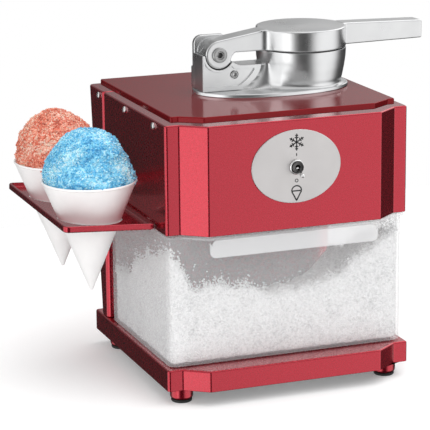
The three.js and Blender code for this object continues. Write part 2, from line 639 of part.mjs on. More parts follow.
// ---- blade disc and drive -----------------------------------------------------------------
const DISC_Z1 = DISC_Z0 + DISC_T;
const slots = [-1, 1].map((sign) => box(
  DISC_X + sign * BLADE_MID_R - BLADE_HALF, DISC_X + sign * BLADE_MID_R + BLADE_HALF,
  DISC_Y - 3 - sign * 5, DISC_Y + 3 - sign * 5, DISC_Z0 - 5, DISC_Z1 + 5));
add('blade_disc', cut(
  join(
    rodZ(DISC_X, DISC_Y, DISC_R, DISC_Z0, DISC_Z1, 56),
    rodZ(DISC_X, DISC_Y, BLADE_HUB_R, BLADE_HUB_Z0, DISC_Z0 + 1),
  ),
  rodZ(DISC_X, DISC_Y, SHAFT_R + 0.35, BLADE_HUB_Z0 - 5, DISC_Z1 + 5),
  ...slots,
), STEEL);
[-1, 1].forEach((sign, index) => {
  const blade = new THREE.Shape([V2(-1.5, 0), V2(12, 0), V2(12, 1.2), V2(1.5, 1.2), V2(-1.5, 0.5)]);
  const geometry = new THREE.ExtrudeGeometry(blade, { depth: 2 * BLADE_HALF, bevelEnabled: false });
  geometry.rotateX(Math.PI / 2).translate(0, BLADE_HALF, 0).rotateZ(Math.PI / 2);
  const mesh = add(`blade_${index + 1}`, geometry, CHROME);
  mesh.rotation.z = sign > 0 ? 0 : Math.PI;
  mesh.position.set(DISC_X + sign * BLADE_MID_R, DISC_Y - sign * 2.2, DISC_Z1 + GAP);
});
add('disc_nut', cut(
  rodZ(DISC_X, DISC_Y, 7.5, DISC_Z1 + GAP, DISC_Z1 + 5, 6),
  rodZ(DISC_X, DISC_Y, SHAFT_R + 0.35, 200, 300),
), STEEL);
add('drive_shaft', rodZ(DISC_X, DISC_Y, SHAFT_R, SHAFT_Z0, DISC_Z1 + 6), STEEL);
add('motor', cut(
  join(
    rodZ(DISC_X, DISC_Y, MOTOR_R, MOTOR_Z0, MOTOR_TOP, 32),
    rodZ(DISC_X, DISC_Y, 10, MOTOR_Z0 - 6, MOTOR_Z0 + 1, 20),
  ),
  rodZ(DISC_X, DISC_Y, SHAFT_R + 0.5, SHAFT_Z0 - 2, MOTOR_TOP + 20),
), GREY);
// The mount is a table over the motor, with a leg in front of it and one behind.
const MOUNT_Z0 = MOTOR_TOP + GAP;
const mountY0 = DISC_Y - MOUNT_HALF_Y;
const mountY1 = DISC_Y + MOUNT_HALF_Y;
add('motor_mount', cut(
  join(
    box(-MOUNT_HALF_X, MOUNT_HALF_X, mountY0, mountY1, MOUNT_Z0, MOUNT_Z0 + MOUNT_T),
    box(-MOUNT_HALF_X, MOUNT_HALF_X, mountY0, mountY0 + MOUNT_T, FLOOR_Z1 + GAP, MOUNT_Z0 + 1),
    box(-MOUNT_HALF_X, MOUNT_HALF_X, mountY1 - MOUNT_T, mountY1, FLOOR_Z1 + GAP, MOUNT_Z0 + 1),
  ),
  rodZ(DISC_X, DISC_Y, SHAFT_R + 1, 200, 300),
), STEEL);
add('shaft_bearing', cut(
  rodZ(DISC_X, DISC_Y, 10, MOUNT_Z0 + MOUNT_T + GAP, BLADE_HUB_Z0 - GAP),
  rodZ(DISC_X, DISC_Y, SHAFT_R + 0.35, 200, 300),
), STEEL);

// ---- origin: the middle of the footprint's box, on the table --------------------------------
machine.updateMatrixWorld(true);
const bounds = new THREE.Box3().setFromObject(machine, true);
const middle = bounds.getCenter(new THREE.Vector3());
machine.position.set(-middle.x, -middle.y, -bounds.min.z);

const root = new THREE.Group();
root.add(machine);

export default root;
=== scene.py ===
"""A shaved ice machine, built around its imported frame.

Every piece is drawn in millimetres in the machine's own frame: X = 0 on the body's middle plane, Y = 0 on
the front panel, Z = 0 on the table, +X to the right of the user and -Y towards the user. place() then moves
it into the row frame, in metres, and lets it ride on its body.
"""
import random
from math import atan, atan2, copysign, cos, pi, radians, sin, sqrt, tan

import bmesh
import bpy
from mathutils import Matrix, Vector, noise


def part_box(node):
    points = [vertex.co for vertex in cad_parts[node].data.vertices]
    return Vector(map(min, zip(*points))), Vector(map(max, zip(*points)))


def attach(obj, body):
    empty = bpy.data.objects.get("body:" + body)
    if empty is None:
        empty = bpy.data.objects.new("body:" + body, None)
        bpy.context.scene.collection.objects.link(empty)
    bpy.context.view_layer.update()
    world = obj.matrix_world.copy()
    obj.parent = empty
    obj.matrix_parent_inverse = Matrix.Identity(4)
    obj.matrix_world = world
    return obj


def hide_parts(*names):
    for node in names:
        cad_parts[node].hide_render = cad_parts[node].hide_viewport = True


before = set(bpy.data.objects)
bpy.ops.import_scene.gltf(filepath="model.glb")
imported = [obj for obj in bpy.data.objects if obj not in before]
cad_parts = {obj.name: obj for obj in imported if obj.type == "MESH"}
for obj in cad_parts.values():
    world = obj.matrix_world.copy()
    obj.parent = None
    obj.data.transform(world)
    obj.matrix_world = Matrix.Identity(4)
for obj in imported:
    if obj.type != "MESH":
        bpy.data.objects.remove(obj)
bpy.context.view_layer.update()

MM = 0.001
housing_low, housing_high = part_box("upper_housing")
ORIGIN = Vector(((housing_low.x + housing_high.x) / 2, housing_low.y, 0))
TO_ROW = Matrix.Translation(ORIGIN) @ Matrix.Scale(MM, 4)


class Box:
    """A CAD node's box at rest, in the machine frame and in millimetres."""

    def __init__(self, node):
        low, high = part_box(node)
        self.x0, self.y0, self.z0 = (low - ORIGIN) / MM
        self.x1, self.y1, self.z1 = (high - ORIGIN) / MM
        self.x, self.y, self.z = (self.x0 + self.x1) / 2, (self.y0 + self.y1) / 2, (self.z0 + self.z1) / 2


# ---- camera, floor and light ----------------------------------------------------------------
CAMERA_FROM = Vector((-772.1, -1820.9, 680.1))
CAMERA_TO = Vector((-82.6, 0, 189.2))
CAMERA_ROLL = radians(-0.54)
CAMERA_LENS = 179.2


def show(thing):
    bpy.context.scene.collection.objects.link(thing)
    return thing


def make_camera():
    data = bpy.data.cameras.new("camera")
    data.lens = CAMERA_LENS
    data.sensor_width = 36
    data.clip_start = 0.1
    data.clip_end = 50
    camera = show(bpy.data.objects.new("camera", data))
    ahead = (CAMERA_TO - CAMERA_FROM).normalized()
    level = ahead.cross(Vector((0, 0, 1))).normalized()
    right = level * cos(CAMERA_ROLL) + level.cross(ahead) * sin(CAMERA_ROLL)
    up = right.cross(ahead)
    turn = Matrix((right, up, -ahead)).transposed().to_4x4()
    camera.matrix_world = Matrix.Translation(TO_ROW @ CAMERA_FROM) @ turn
    bpy.context.scene.camera = camera


FLOOR_X = (-1.35, 0.80)
FLOOR_Y = (-1.50, 0.62)


def make_floor():
    mesh = bpy.data.meshes.new("floor")
    mesh.from_pydata([(x, y, 0) for x, y in rectangle(*FLOOR_X, *FLOOR_Y)], [], [(0, 1, 2, 3)])
    floor = show(bpy.data.objects.new("floor", mesh))
    material, tree, shader = principled("floor_white", (0.80, 0.80, 0.80), roughness=1.0)
    fill(tree, shader, {"Emission Color": (1, 1, 1, 1), "Emission Strength": 0.2})
    mesh.materials.append(material)
    floor.visible_glossy = False


SURROUND_LOW, SURROUND_HIGH = 0.035, 0.28
CARDS = [  # direction, strength, and the half angles in degrees where it is full and where it ends
    ((-1.0, -0.05, -0.18), 1.15, 30, 56),
    ((-0.807, -0.537, -0.244), 0.80, 4, 14),
    ((0.72, -0.69, -0.16), 1.12, 16, 50),
    ((0.60, 0.22, 0.77), 0.85, 20, 50),
    ((-0.15, -0.25, 1.0), 0.45, 25, 60),
    ((0.66, 0.62, 0.42), 0.55, 10, 36),
]
AMBIENT = 0.5
SUN_STRENGTH, SUN_ANGLE = 2.35, 75
KEY_FROM, KEY_TO = Vector((-1.3, -1.9, 1.1)), Vector((0, 0, 0.12))
KEY_WIDTH, KEY_HEIGHT, KEY_POWER = 1.4, 1.2, 19


def studio_reflections(tree):
    """What shiny surfaces see: dark surroundings that brighten upwards, and soft white cards."""
    where = add_node(tree, "TexCoord").outputs["Generated"]
    height = add_node(tree, "SeparateXYZ", {0: where}).outputs["Z"]
    total = graded(tree, height, -0.1, 0.55, SURROUND_LOW, SURROUND_HIGH, "SMOOTHSTEP")
    for direction, strength, inner, outer in CARDS:
        along = add_node(tree, "VectorMath", {0: where, 1: Vector(direction).normalized()},
                         operation="DOT_PRODUCT").outputs["Value"]
        edges = cos(radians(outer)), cos(radians(inner))
        total = maths(tree, "ADD", total, graded(tree, along, *edges, 0, strength, "SMOOTHSTEP"))
    return total


def background(tree, color):
    return add_node(tree, "Background", {"Color": color}).outputs[0]


def mixed(tree, share, first, second):
    return add_node(tree, "MixShader", {0: share, 1: first, 2: second}).outputs[0]


def add_light(name, kind, energy, turn):
    data = bpy.data.lights.new(name, kind)
    data.energy = energy
    light = show(bpy.data.objects.new(name, data))
    light.visible_glossy = False
    light.rotation_euler = turn
    return light


def make_lights():
    """White behind the machine, studio_reflections() in its gloss, and an even light everywhere else."""
    world = bpy.data.worlds.new("studio")
    bpy.context.scene.world = world
    world.use_nodes = True
    world.cycles.sampling_method = "NONE"
    tree = world.node_tree
    tree.nodes.clear()
    path = add_node(tree, "LightPath")
    unseen = mixed(tree, path.outputs["Is Glossy Ray"], background(tree, (AMBIENT, AMBIENT, AMBIENT, 1)),
                   background(tree, studio_reflections(tree)))
    light = mixed(tree, path.outputs["Is Camera Ray"], unseen, background(tree, (1, 1, 1, 1)))
    add_node(tree, "OutputWorld", {"Surface": light})
    overhead = add_light("overhead", "SUN", SUN_STRENGTH, (radians(12), radians(14), 0))
    overhead.data.angle = radians(SUN_ANGLE)
    key = add_light("key", "AREA", KEY_POWER, (KEY_TO - KEY_FROM).to_track_quat("-Z", "Y").to_euler())
    key.location = KEY_FROM
    key.data.shape = "RECTANGLE"
    key.data.size, key.data.size_y = KEY_WIDTH, KEY_HEIGHT
    bpy.context.scene.view_settings.view_transform = "Standard"


# ---- materials ------------------------------------------------------------------------------
def fill(tree, node, values):
    """Sets a node's inputs, by name or number, to values or to other nodes' outputs."""
    for key, value in values.items():
        if isinstance(value, bpy.types.NodeSocket):
            tree.links.new(value, node.inputs[key])
        else:
            node.inputs[key].default_value = value


def add_node(tree, kind, values=None, **settings):
    node = tree.nodes.new("ShaderNode" + kind)
    for name, value in settings.items():
        setattr(node, name, value)
    fill(tree, node, values or {})
    return node


def maths(tree, operation, *values):
    return add_node(tree, "Math", dict(enumerate(values)), operation=operation).outputs[0]


def graded(tree, value, start, end, low, high, kind="LINEAR"):
    """Turns a value from start..end into one from low..high."""
    return add_node(tree, "MapRange", {"Value": value, "From Min": start, "From Max": end, "To Min": low,
                                       "To Max": high}, interpolation_type=kind).outputs["Result"]


def principled(name, color, roughness=0.5, metallic=0.0):
    material = bpy.data.materials.new(name)
    material.use_nodes = True
    tree = material.node_tree
    shader = tree.nodes["Principled BSDF"]
    fill(tree, shader, {"Base Color": (*color, 1), "Roughness": roughness, "Metallic": metallic})
    return material, tree, shader


def object_noise(tree, scale, detail=3.0):
    """A noise texture fixed to the piece; the scale is in cells per metre."""
    where = add_node(tree, "TexCoord").outputs["Object"]
    return add_node(tree, "TexNoise", {"Vector": where, "Scale": scale, "Detail": detail}).outputs["Fac"]


def vary_color(tree, shader, factor, low, high, start=0.35, end=0.65):
    ramp = add_node(tree, "ValToRGB", {"Fac": factor})
    for element, position, color in zip(ramp.color_ramp.elements, (start, end), (low, high)):
        element.position = position
        element.color = (*color, 1)
    fill(tree, shader, {"Base Color": ramp.outputs["Color"]})
    return ramp


def vary_roughness(tree, shader, factor, low, high):
    fill(tree, shader, {"Roughness": graded(tree, factor, 0.3, 0.7, low, high)})


def add_bump(tree, shader, factor, strength, distance):
    bump = add_node(tree, "Bump", {"Height": factor, "Strength": strength, "Distance": distance})
    fill(tree, shader, {"Normal": bump.outputs["Normal"]})


def paint(name, dark, light, roughness, coat_roughness, coat=1.0, metallic=0.92, specular=0.5):
    """Candy paint: metallic flakes under tinted lacquer, with a clear coat on top."""
    material, tree, shader = principled(name, light, metallic=metallic)
    vary_color(tree, shader, object_noise(tree, 900), dark, light)
    vary_roughness(tree, shader, object_noise(tree, 500), roughness - 0.03, roughness + 0.03)
    add_bump(tree, shader, object_noise(tree, 260, 2), 0.02, 0.0002)
    fill(tree, shader, {"Coat Weight": coat, "Coat Roughness": coat_roughness, "Coat IOR": 1.5,
                        "Specular IOR Level": specular})
    return material


def metal(name, dark, light, rough_low, rough_high, grain=1400, relief=0.05):
    material, tree, shader = principled(name, light, metallic=1.0)
    vary_color(tree, shader, object_noise(tree, 30, 2), dark, light)
    vary_roughness(tree, shader, object_noise(tree, 26, 2), rough_low, rough_high)
    add_bump(tree, shader, object_noise(tree, grain, 2), relief, 0.0001)
    return material


def plastic(name, dark, light, rough_low, rough_high, grain=800, relief=0.1):
    material, tree, shader = principled(name, light)
    vary_color(tree, shader, object_noise(tree, 40, 3), dark, light)
    vary_roughness(tree, shader, object_noise(tree, 160, 3), rough_low, rough_high)
    add_bump(tree, shader, object_noise(tree, grain, 2), relief, 0.0002)
    return material


def clear_plastic(name, haze):
    """Clear moulded plastic: see-through, with a faint haze and a mirror that grows at shallow angles."""
    material, tree, shader = principled(name, (0.90, 0.90, 0.91), roughness=0.1)
    vary_roughness(tree, shader, object_noise(tree, 60, 3), 0.05, 0.12)
    through = add_node(tree, "BsdfTransparent", {"Color": (0.99, 0.99, 0.99, 1)})
    tilt = add_node(tree, "LayerWeight", {"Blend": 0.5})
    shallow = maths(tree, "POWER", tilt.outputs["Facing"], 4)
    share = maths(tree, "MULTIPLY_ADD", shallow, 0.55, haze)
    surface = mixed(tree, share, through.outputs[0], shader.outputs[0])
    fill(tree, tree.nodes["Material Output"], {"Surface": surface})
    return material


def ice(name, colors, scatter, speckle, cloud):
    """Coarse ice: each grain has its own shade, and light soaks a little way in."""
    material, tree, shader = principled(name, colors[1], roughness=0.3)
    where = add_node(tree, "TexCoord").outputs["Object"]
    cells = add_node(tree, "TexVoronoi", {"Vector": where, "Scale": 620})
    shade = add_node(tree, "SeparateColor", {0: cells.outputs["Color"]})
    patches = maths(tree, "MULTIPLY_ADD", object_noise(tree, 45, 2), cloud, 0.5 - 0.5 * cloud)
    both = maths(tree, "MULTIPLY_ADD", shade.outputs[0], speckle, patches)
    first, last = 0.38, 0.94
    ramp = vary_color(tree, shader, both, colors[0], colors[-1], first, last)
    for index, color in enumerate(colors[1:-1]):
        step = ramp.color_ramp.elements.new(first + (last - first) * (index + 1) / (len(colors) - 1))
        step.color = (*color, 1)
    vary_roughness(tree, shader, object_noise(tree, 600, 2), 0.12, 0.45)
    add_bump(tree, shader, object_noise(tree, 620, 3), 0.7, 0.0012)
    fill(tree, shader, {"Subsurface Weight": 0.2, "Subsurface Radius": scatter, "Subsurface Scale": 0.004})
    return material


RED = paint("red_paint", (0.44, 0.007, 0.022), (0.52, 0.012, 0.036), 0.27, 0.12)
RED_TOP = paint("red_top_paint", (0.17, 0.002, 0.005), (0.23, 0.003, 0.008), 0.14, 0.03, 0.12, 0.32, 0.22)
RED_SATIN = paint("red_cover_paint", (0.30, 0.006, 0.016), (0.42, 0.010, 0.026), 0.26, 0.12)
CAST = metal("cast_silver", (0.74, 0.745, 0.75), (0.80, 0.803, 0.806), 0.27, 0.31, 2600, 0.05)
DULL_STEEL = metal("dull_steel", (0.40, 0.40, 0.40), (0.50, 0.50, 0.50), 0.26, 0.34, 900, 0.04)
STEEL = metal("bright_steel", (0.70, 0.70, 0.70), (0.80, 0.80, 0.80), 0.16, 0.22, 900, 0.04)
CHROME = metal("chrome_plate", (0.84, 0.84, 0.85), (0.90, 0.90, 0.90), 0.03, 0.06, 600, 0.01)
BADGE = metal("badge_satin", (0.74, 0.715, 0.71), (0.78, 0.755, 0.75), 0.40, 0.46, 2200, 0.06)
GUNMETAL = metal("dark_plate", (0.10, 0.098, 0.098), (0.14, 0.137, 0.137), 0.30, 0.36, 1200, 0.03)
GREY = metal("grey_metal", (0.16, 0.16, 0.165), (0.24, 0.24, 0.245), 0.40, 0.50)
BLACK = plastic("black_plastic", (0.012, 0.012, 0.012), (0.022, 0.022, 0.022), 0.35, 0.5)
RUBBER = plastic("black_rubber", (0.010, 0.010, 0.010), (0.018, 0.018, 0.018), 0.6, 0.8, 1500, 0.25)
WHITE = plastic("white_plastic", (0.78, 0.77, 0.76), (0.84, 0.83, 0.82), 0.3, 0.42)
CONE = plastic("cone_plastic", (0.84, 0.83, 0.825), (0.89, 0.88, 0.875), 0.42, 0.55, 1200, 0.12)
INK = plastic("printed_ink", (0.012, 0.012, 0.013), (0.03, 0.03, 0.032), 0.4, 0.5)
CLEAR = clear_plastic("clear_plastic", 0.19)
FROSTED = clear_plastic("frosted_plastic", 0.36)
WHITE_ICE = ice("white_ice", [(0.54, 0.55, 0.56), (0.86, 0.862, 0.865), (0.98, 0.98, 0.98)],
                (1, 1, 1), 0.52, 0.4)
BLUE_ICE = ice("blue_ice", [(0.035, 0.28, 0.58), (0.11, 0.46, 0.74), (0.26, 0.65, 0.85), (0.60, 0.86, 0.95)],
               (0.3, 0.7, 1), 0.42, 0.75)
CORAL_ICE = ice("coral_ice", [(0.34, 0.075, 0.045), (0.68, 0.14, 0.08), (0.76, 0.27, 0.18),
                              (0.86, 0.58, 0.46)], (1, 0.35, 0.25), 0.44, 0.85)


# ---- mesh tools -----------------------------------------------------------------------------
def outline(points, radius, inset=0.0, steps=6):
    """A counter-clockwise outline moved inwards by the inset, with every corner rounded."""
    loop = []
    count = len(points)
    for index, point in enumerate(points):
        here = Vector(point)
        before = (here - Vector(points[index - 1])).normalized()
        after = (Vector(points[(index + 1) % count]) - here).normalized()
        side_a = Vector((-before.y, before.x))
        side_b = Vector((-after.y, after.x))
        corner = here + (side_a + side_b) * (inset / (1 + side_a.dot(side_b)))
        turn = atan2(before.x * after.y - before.y * after.x, before.dot(after))
        bend = max(radius - inset, 0.15) if turn > 0 else radius + inset
        reach = bend * tan(abs(turn) / 2)
        centre = corner - before * reach + side_a * copysign(bend, turn)
        arm = corner - before * reach - centre
        for step in range(steps + 1):
            angle = turn * step / steps
            c, s = cos(angle), sin(angle)
            loop.append(centre + Vector((arm.x * c - arm.y * s, arm.x * s + arm.y * c)))
    return loop


def loft(loops, ring=False):
    """A closed skin over loops of points, with a face at each end unless they join up in a ring."""
    bm = bmesh.new()
    rows = [[bm.verts.new(p) for p in loop] for loop in loops]
    count = len(rows[0])
    pairs = list(zip(rows, rows[1:]))
    if ring:
        pairs.append((rows[-1], rows[0]))
    for low, high in pairs:
        for i in range(count):
            j = (i + 1) % count
            bm.faces.new((low[i], low[j], high[j], high[i]))
    if not ring:
        bm.faces.new(list(reversed(rows[0])))
        bm.faces.new(rows[-1])
    bmesh.ops.recalc_face_normals(bm, faces=bm.faces)
    return bm


def fold(radius, steps=4):
    """Quarter round of a folded edge, as (inset, drop) pairs from the wall to the top."""
    angles = [pi / 2 * i / steps for i in range(steps + 1)]
    return [(radius * (1 - cos(a)), radius * (1 - sin(a))) for a in angles]


def levels(z0, z1, top, bottom):
    """(inset, z) pairs up the side of a body whose bottom and top edges are rounded."""
    return ([(inset, z0 + drop) for inset, drop in reversed(fold(bottom))]
            + [(inset, z1 - drop) for inset, drop in fold(top)])


def stacked(section, plan):
    """A body with a level loop of points at each (inset, z), where plan(inset) gives the loop."""
    return loft([[Vector((p.x, p.y, z)) for p in plan(inset)] for inset, z in section])


def prism(points, corner, z0, z1, top=1.0, bottom=0.4, steps=6):
    """An upright body over an outline, with its top and bottom edges rounded."""
    return stacked(levels(z0, z1, top, bottom), lambda inset: outline(points, corner, inset, steps))


def shrunk(points, corner, inset, steps=1):
    """An outline moved inwards, as plain (x, y) pairs."""
    return [tuple(p) for p in outline(points, corner, inset, steps)]


def slab(points, corner, y0, y1, front=0.6, back=0.3, steps=6):
    """A plate that lies in the X-Z plane: its outline is drawn as (x, z), from y0 (front) to y1."""
    bm = prism(points, corner, -y1, -y0, front, back, steps)
    return moved(bm, spun(90, "X"))


def turned(profile, x=0.0, y=0.0, steps=64):
    """A body turned about Z at (x, y). The profile is a list of (radius, z); it closes on itself
    unless both ends are on the axis."""
    bm = bmesh.new()
    rings = []
    for radius, z in profile:
        if radius < 1e-6:
            rings.append([bm.verts.new((x, y, z))])
        else:
            rings.append([bm.verts.new((x + radius * cos(2 * pi * i / steps),
                                        y + radius * sin(2 * pi * i / steps), z))
                          for i in range(steps)])
    pairs = list(zip(rings, rings[1:]))
    if len(rings[0]) > 1 and len(rings[-1]) > 1:
        pairs.append((rings[-1], rings[0]))
    for a, b in pairs:
        for i in range(steps):
            j = (i + 1) % steps
            corners = [a[i % len(a)], a[j % len(a)], b[j % len(b)], b[i % len(b)]]
            distinct = list(dict.fromkeys(corners))
            if len(distinct) > 2:
                bm.faces.new(distinct)
    bmesh.ops.recalc_face_normals(bm, faces=bm.faces)
    return bm


def rounded(points, radius, steps=4):
    """An open profile with its inner corners rounded, each by as much as fits."""
    result = [Vector(points[0])]
    for before, here, after in zip(points, points[1:], points[2:]):
        here = Vector(here)
        back, on = Vector(before) - here, Vector(after) - here
        reach = min(radius, back.length * 0.45, on.length * 0.45)
        start = here + back.normalized() * reach
        end = here + on.normalized() * reach
        for step in range(steps + 1):
            t = step / steps
            result.append(start * (1 - t) ** 2 + here * (2 * t * (1 - t)) + end * t ** 2)
    result.append(Vector(points[-1]))
    return [tuple(p) for p in result]


def rectangle(x0, x1, y0, y1):
    return [(x0, y0), (x1, y0), (x1, y1), (x0, y1)]


def block(x0, x1, y0, y1, z0, z1, corner=0.4):
    return prism(rectangle(x0, x1, y0, y1), corner, z0, z1, corner * 0.8, corner * 0.8, 2)


def rod(radius, start, end, steps=32, edge=0.3):
    """A round bar from one point to another, with softened ends."""
    start, end = Vector(start), Vector(end)
    length = (end - start).length
    bm = turned([(0, 0), (radius - edge, 0), (radius, edge), (radius, length - edge),
                 (radius - edge, length), (0, length)], steps=steps)
    bm.transform(Matrix.Translation(start) @ (end - start).to_track_quat("Z", "Y").to_matrix().to_4x4())
    return bm


def joined(*parts):
    """One mesh that holds all the parts, not merged."""
    mesh = bpy.data.meshes.new("joined")
    whole = bmesh.new()
    for part in parts:
        part.to_mesh(mesh)
        whole.from_mesh(mesh)
        part.free()
    bpy.data.meshes.remove(mesh)
    return whole


def moved(bm, matrix):
    bm.transform(matrix)
    return bm


def at(x, y, z):
    return Matrix.Translation((x, y, z))


def spun(degrees, axis):
    return Matrix.Rotation(radians(degrees), 4, axis)


def facing(x, y, z):
    """Turns a shape drawn along +Z so that its top faces the user, at (x, y, z)."""
    return at(x, y, z) @ spun(90, "X")


def scratch(bm):
    mesh = bpy.data.meshes.new("scratch")
    bm.to_mesh(mesh)
    bm.free()
    return show(bpy.data.objects.new("scratch", mesh))


def discard(thing):
    mesh = thing.data
    bpy.data.objects.remove(thing)
    bpy.data.meshes.remove(mesh)


def finished(thing):
    """The thing's mesh with its modifiers applied, as a bmesh. The thing is removed."""
    bpy.context.view_layer.update()
    shown = thing.evaluated_get(bpy.context.evaluated_depsgraph_get())
    bm = bmesh.new()
    bm.from_mesh(shown.to_mesh())
    shown.to_mesh_clear()
    discard(thing)
    return bm


def carved(bm, tool, operation="DIFFERENCE"):
    body = scratch(bm)
    knife = scratch(tool)
    change = body.modifiers.new("carve", "BOOLEAN")
    change.operation = operation
    change.solver = "EXACT"
    change.use_self = True
    change.object = knife
    result = finished(body)
    discard(knife)
    return result


def cast(bm, grain=0.6, rounds=6):
    """Overlapping solids run together as one casting, with soft inner and outer corners."""
    body = scratch(bm)
    merge = body.modifiers.new("merge", "REMESH")
    merge.mode = "VOXEL"
    merge.voxel_size = grain
    soften = body.modifiers.new("soften", "SMOOTH")
    soften.factor = 0.5
    soften.iterations = rounds
    return finished(body)


def place(name, bm, material, body="machine", nodes=(), sharp=32):
    """Puts a piece into the row frame: its material, its body, and the CAD nodes it stands for."""
    bm.transform(TO_ROW)
    bmesh.ops.remove_doubles(bm, verts=bm.verts, dist=1e-7)
    limit = radians(sharp)
    for face in bm.faces:
        face.smooth = True
    for edge in bm.edges:
        edge.smooth = not edge.is_manifold or edge.calc_face_angle(0) < limit
    mesh = bpy.data.meshes.new(name)
    bm.to_mesh(mesh)
    bm.free()
    mesh.materials.append(material)
    piece = show(bpy.data.objects.new(name, mesh))
    even = piece.modifiers.new("even_shading", "WEIGHTED_NORMAL")
    even.keep_sharp = True
    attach(piece, body)
    if nodes:
        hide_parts(*nodes)
    return piece


def stand_in(node, bm, material, sharp=32, body="machine"):
    """A piece that stands for one CAD node."""
    return place(node + "_shape", bm, material, body, [node], sharp)


def cross_recess(radius, depth, top):
    """The tool that cuts a cross recess into a screw's head, pointing down from the top."""
    arm = radius * 0.26
    reach = radius * 0.62
    return joined(block(-reach, reach, -arm, arm, top - depth, top + 1, 0.15),
                  block(-arm, arm, -reach, reach, top - depth - 0.05, top + 1.05, 0.15))


def pan_head(radius, height, shank, length):
    """A pan-head screw with a cross recess, its head on z = 0 and its shank below."""
    profile = rounded([(0, -length), (shank, -length), (shank, 0), (radius, 0), (radius, height * 0.4),
                       (radius * 0.8, height * 0.86), (0, height)], height * 0.3, 3)
    return carved(turned(profile, steps=40), cross_recess(radius, height * 0.6, height))


# ---- red sheet-metal body -------------------------------------------------------------------
SHEET = 2.5
BEND = 3.0


def stepped(box, strip, chamfer, step, rear=None):
    """Plan of the body: a front panel between two slanted faces, with a set-back strip at each side."""
    half = (box.x1 - box.x0) / 2
    front = box.y0
    back = box.y1 if rear is None else rear
    return [
        (-half, front + step), (-half + strip, front + step), (-half + strip + chamfer, front),
        (half - strip - chamfer, front), (half - strip, front + step), (half, front + step),
        (half, back), (-half, back),
    ]


BASE = Box("base_tray")
BASE_PLAN = stepped(BASE, 15, 22.5, 16.5)
HOUSING = Box("upper_housing")
HOUSING_STEPS = (13.8, 22.6, 18)
PLATE = Box("top_plate")
PLATE_ROLL = 2.0
PLATE.x0, PLATE.x1 = PLATE.x0 - PLATE_ROLL, PLATE.x1 + PLATE_ROLL
COLUMN = Box("rear_column")
COLUMN_FOOT_DEPTH = 22
LEAN = atan((COLUMN.y1 - COLUMN.y0 - COLUMN_FOOT_DEPTH) / (COLUMN.z1 - COLUMN.z0))
BIN = Box("ice_bin")
HOPPER = Box("hopper")
TOGGLE_Z = Box("toggle_nut").z
TOGGLE_HOLE_R = 6.2
BOWL = Vector((58, 125))
THROAT_R = 29.6


def make_feet():
    kinds = (("foot_", RED, 1.2, 2, 0.6, 0.8), ("foot_pad_", RUBBER, 0.9, 0.9, 0.4, 0.5))
    for side in ("front_left", "front_right", "rear_left", "rear_right"):
        for kind, material, inset, rise, edge, bend in kinds:
            box = Box(kind + side)
            radius = (box.x1 - box.x0) / 2
            shape = [(0, box.z0), (radius - inset, box.z0), (radius, box.z0 + rise), (radius, box.z1 - edge),
                     (radius - edge, box.z1), (0, box.z1)]
            stand_in(kind + side, turned(rounded(shape, bend), box.x, box.y), material)


def folded_shell(plan, inner_plan, corner, box, top, bottom):
    """A folded sheet-metal cover, open below."""
    outer = prism(plan, BEND, box.z0, box.z1, top, bottom)
    inner = prism(shrunk(inner_plan, BEND, SHEET), corner, box.z0 - 5, box.z1 - SHEET, 0.6, 0.1, 2)
    return carved(outer, inner)


def make_base():
    stand_in("base_tray", folded_shell(BASE_PLAN, BASE_PLAN, 0.4, BASE, 2.0, 0.5), RED)
    plate = Box("base_plate")
    plan = shrunk(BASE_PLAN, BEND, SHEET + 0.3)
    stand_in("base_plate", prism(plan, 0.5, plate.z0, plate.z1, 0.3, 0.3, 2), GREY)


def throat(low, high):
    """The tool that cuts the round way down from the hopper."""
    return rod(THROAT_R, (*BOWL, low), (*BOWL, high), 64)


def make_housing():
    open_rear = stepped(HOUSING, *HOUSING_STEPS, HOUSING.y1 + 10)
    shell = folded_shell(stepped(HOUSING, *HOUSING_STEPS), open_rear, 0.5, HOUSING, 1.8, 0.6)
    holes = joined(throat(HOUSING.z1 - 8, HOUSING.z1 + 5),
                   rod(TOGGLE_HOLE_R, (0, -5, TOGGLE_Z), (0, 6, TOGGLE_Z)))
    stand_in("upper_housing", carved(shell, holes), RED).visible_glossy = False
    plate = prism(stepped(PLATE, 7.4, 20.9, 14.3), 2.2, PLATE.z0, PLATE.z1, top=1.1, bottom=0.8)
    plate = carved(plate, throat(PLATE.z0 - 5, PLATE.z1 + 5))
    stand_in("top_plate", plate, RED_TOP).visible_glossy = False


def column_back(z):
    return COLUMN.y0 + COLUMN_FOOT_DEPTH + (z - COLUMN.z0) * tan(LEAN)


def make_column():
    """The rear column is a rounded box; its back leans outwards as it rises."""
    section = [(inset, COLUMN.z0 + drop) for inset, drop in reversed(fold(1.0))]
    section += [(0, COLUMN.z0 + (COLUMN.z1 - COLUMN.z0) * i / 8) for i in range(1, 8)]
    section += [(inset, COLUMN.z1 - drop) for inset, drop in fold(1.8)]
    loops = []
    for inset, z in section:
        plan = outline(rectangle(COLUMN.x0, COLUMN.x1, COLUMN.y0, column_back(z)), 6, inset, 8)
        loops.append([Vector((p.x, p.y, z)) for p in plan])
    stand_in("rear_column", loft(loops), RED)


# ---- cone holder and cones ------------------------------------------------------------------
HOLDER_TILT = 3.5
HOLDER_EDGE = Vector((HOUSING.x0 - 0.9, 0, 174.9))
HOLDER_WIDTH, HOLDER_HEIGHT, HOLDER_FLOOR, HOLDER_WALL = 91, 6, 1.8, 2.4
HOLDER_HOLE_R = 32


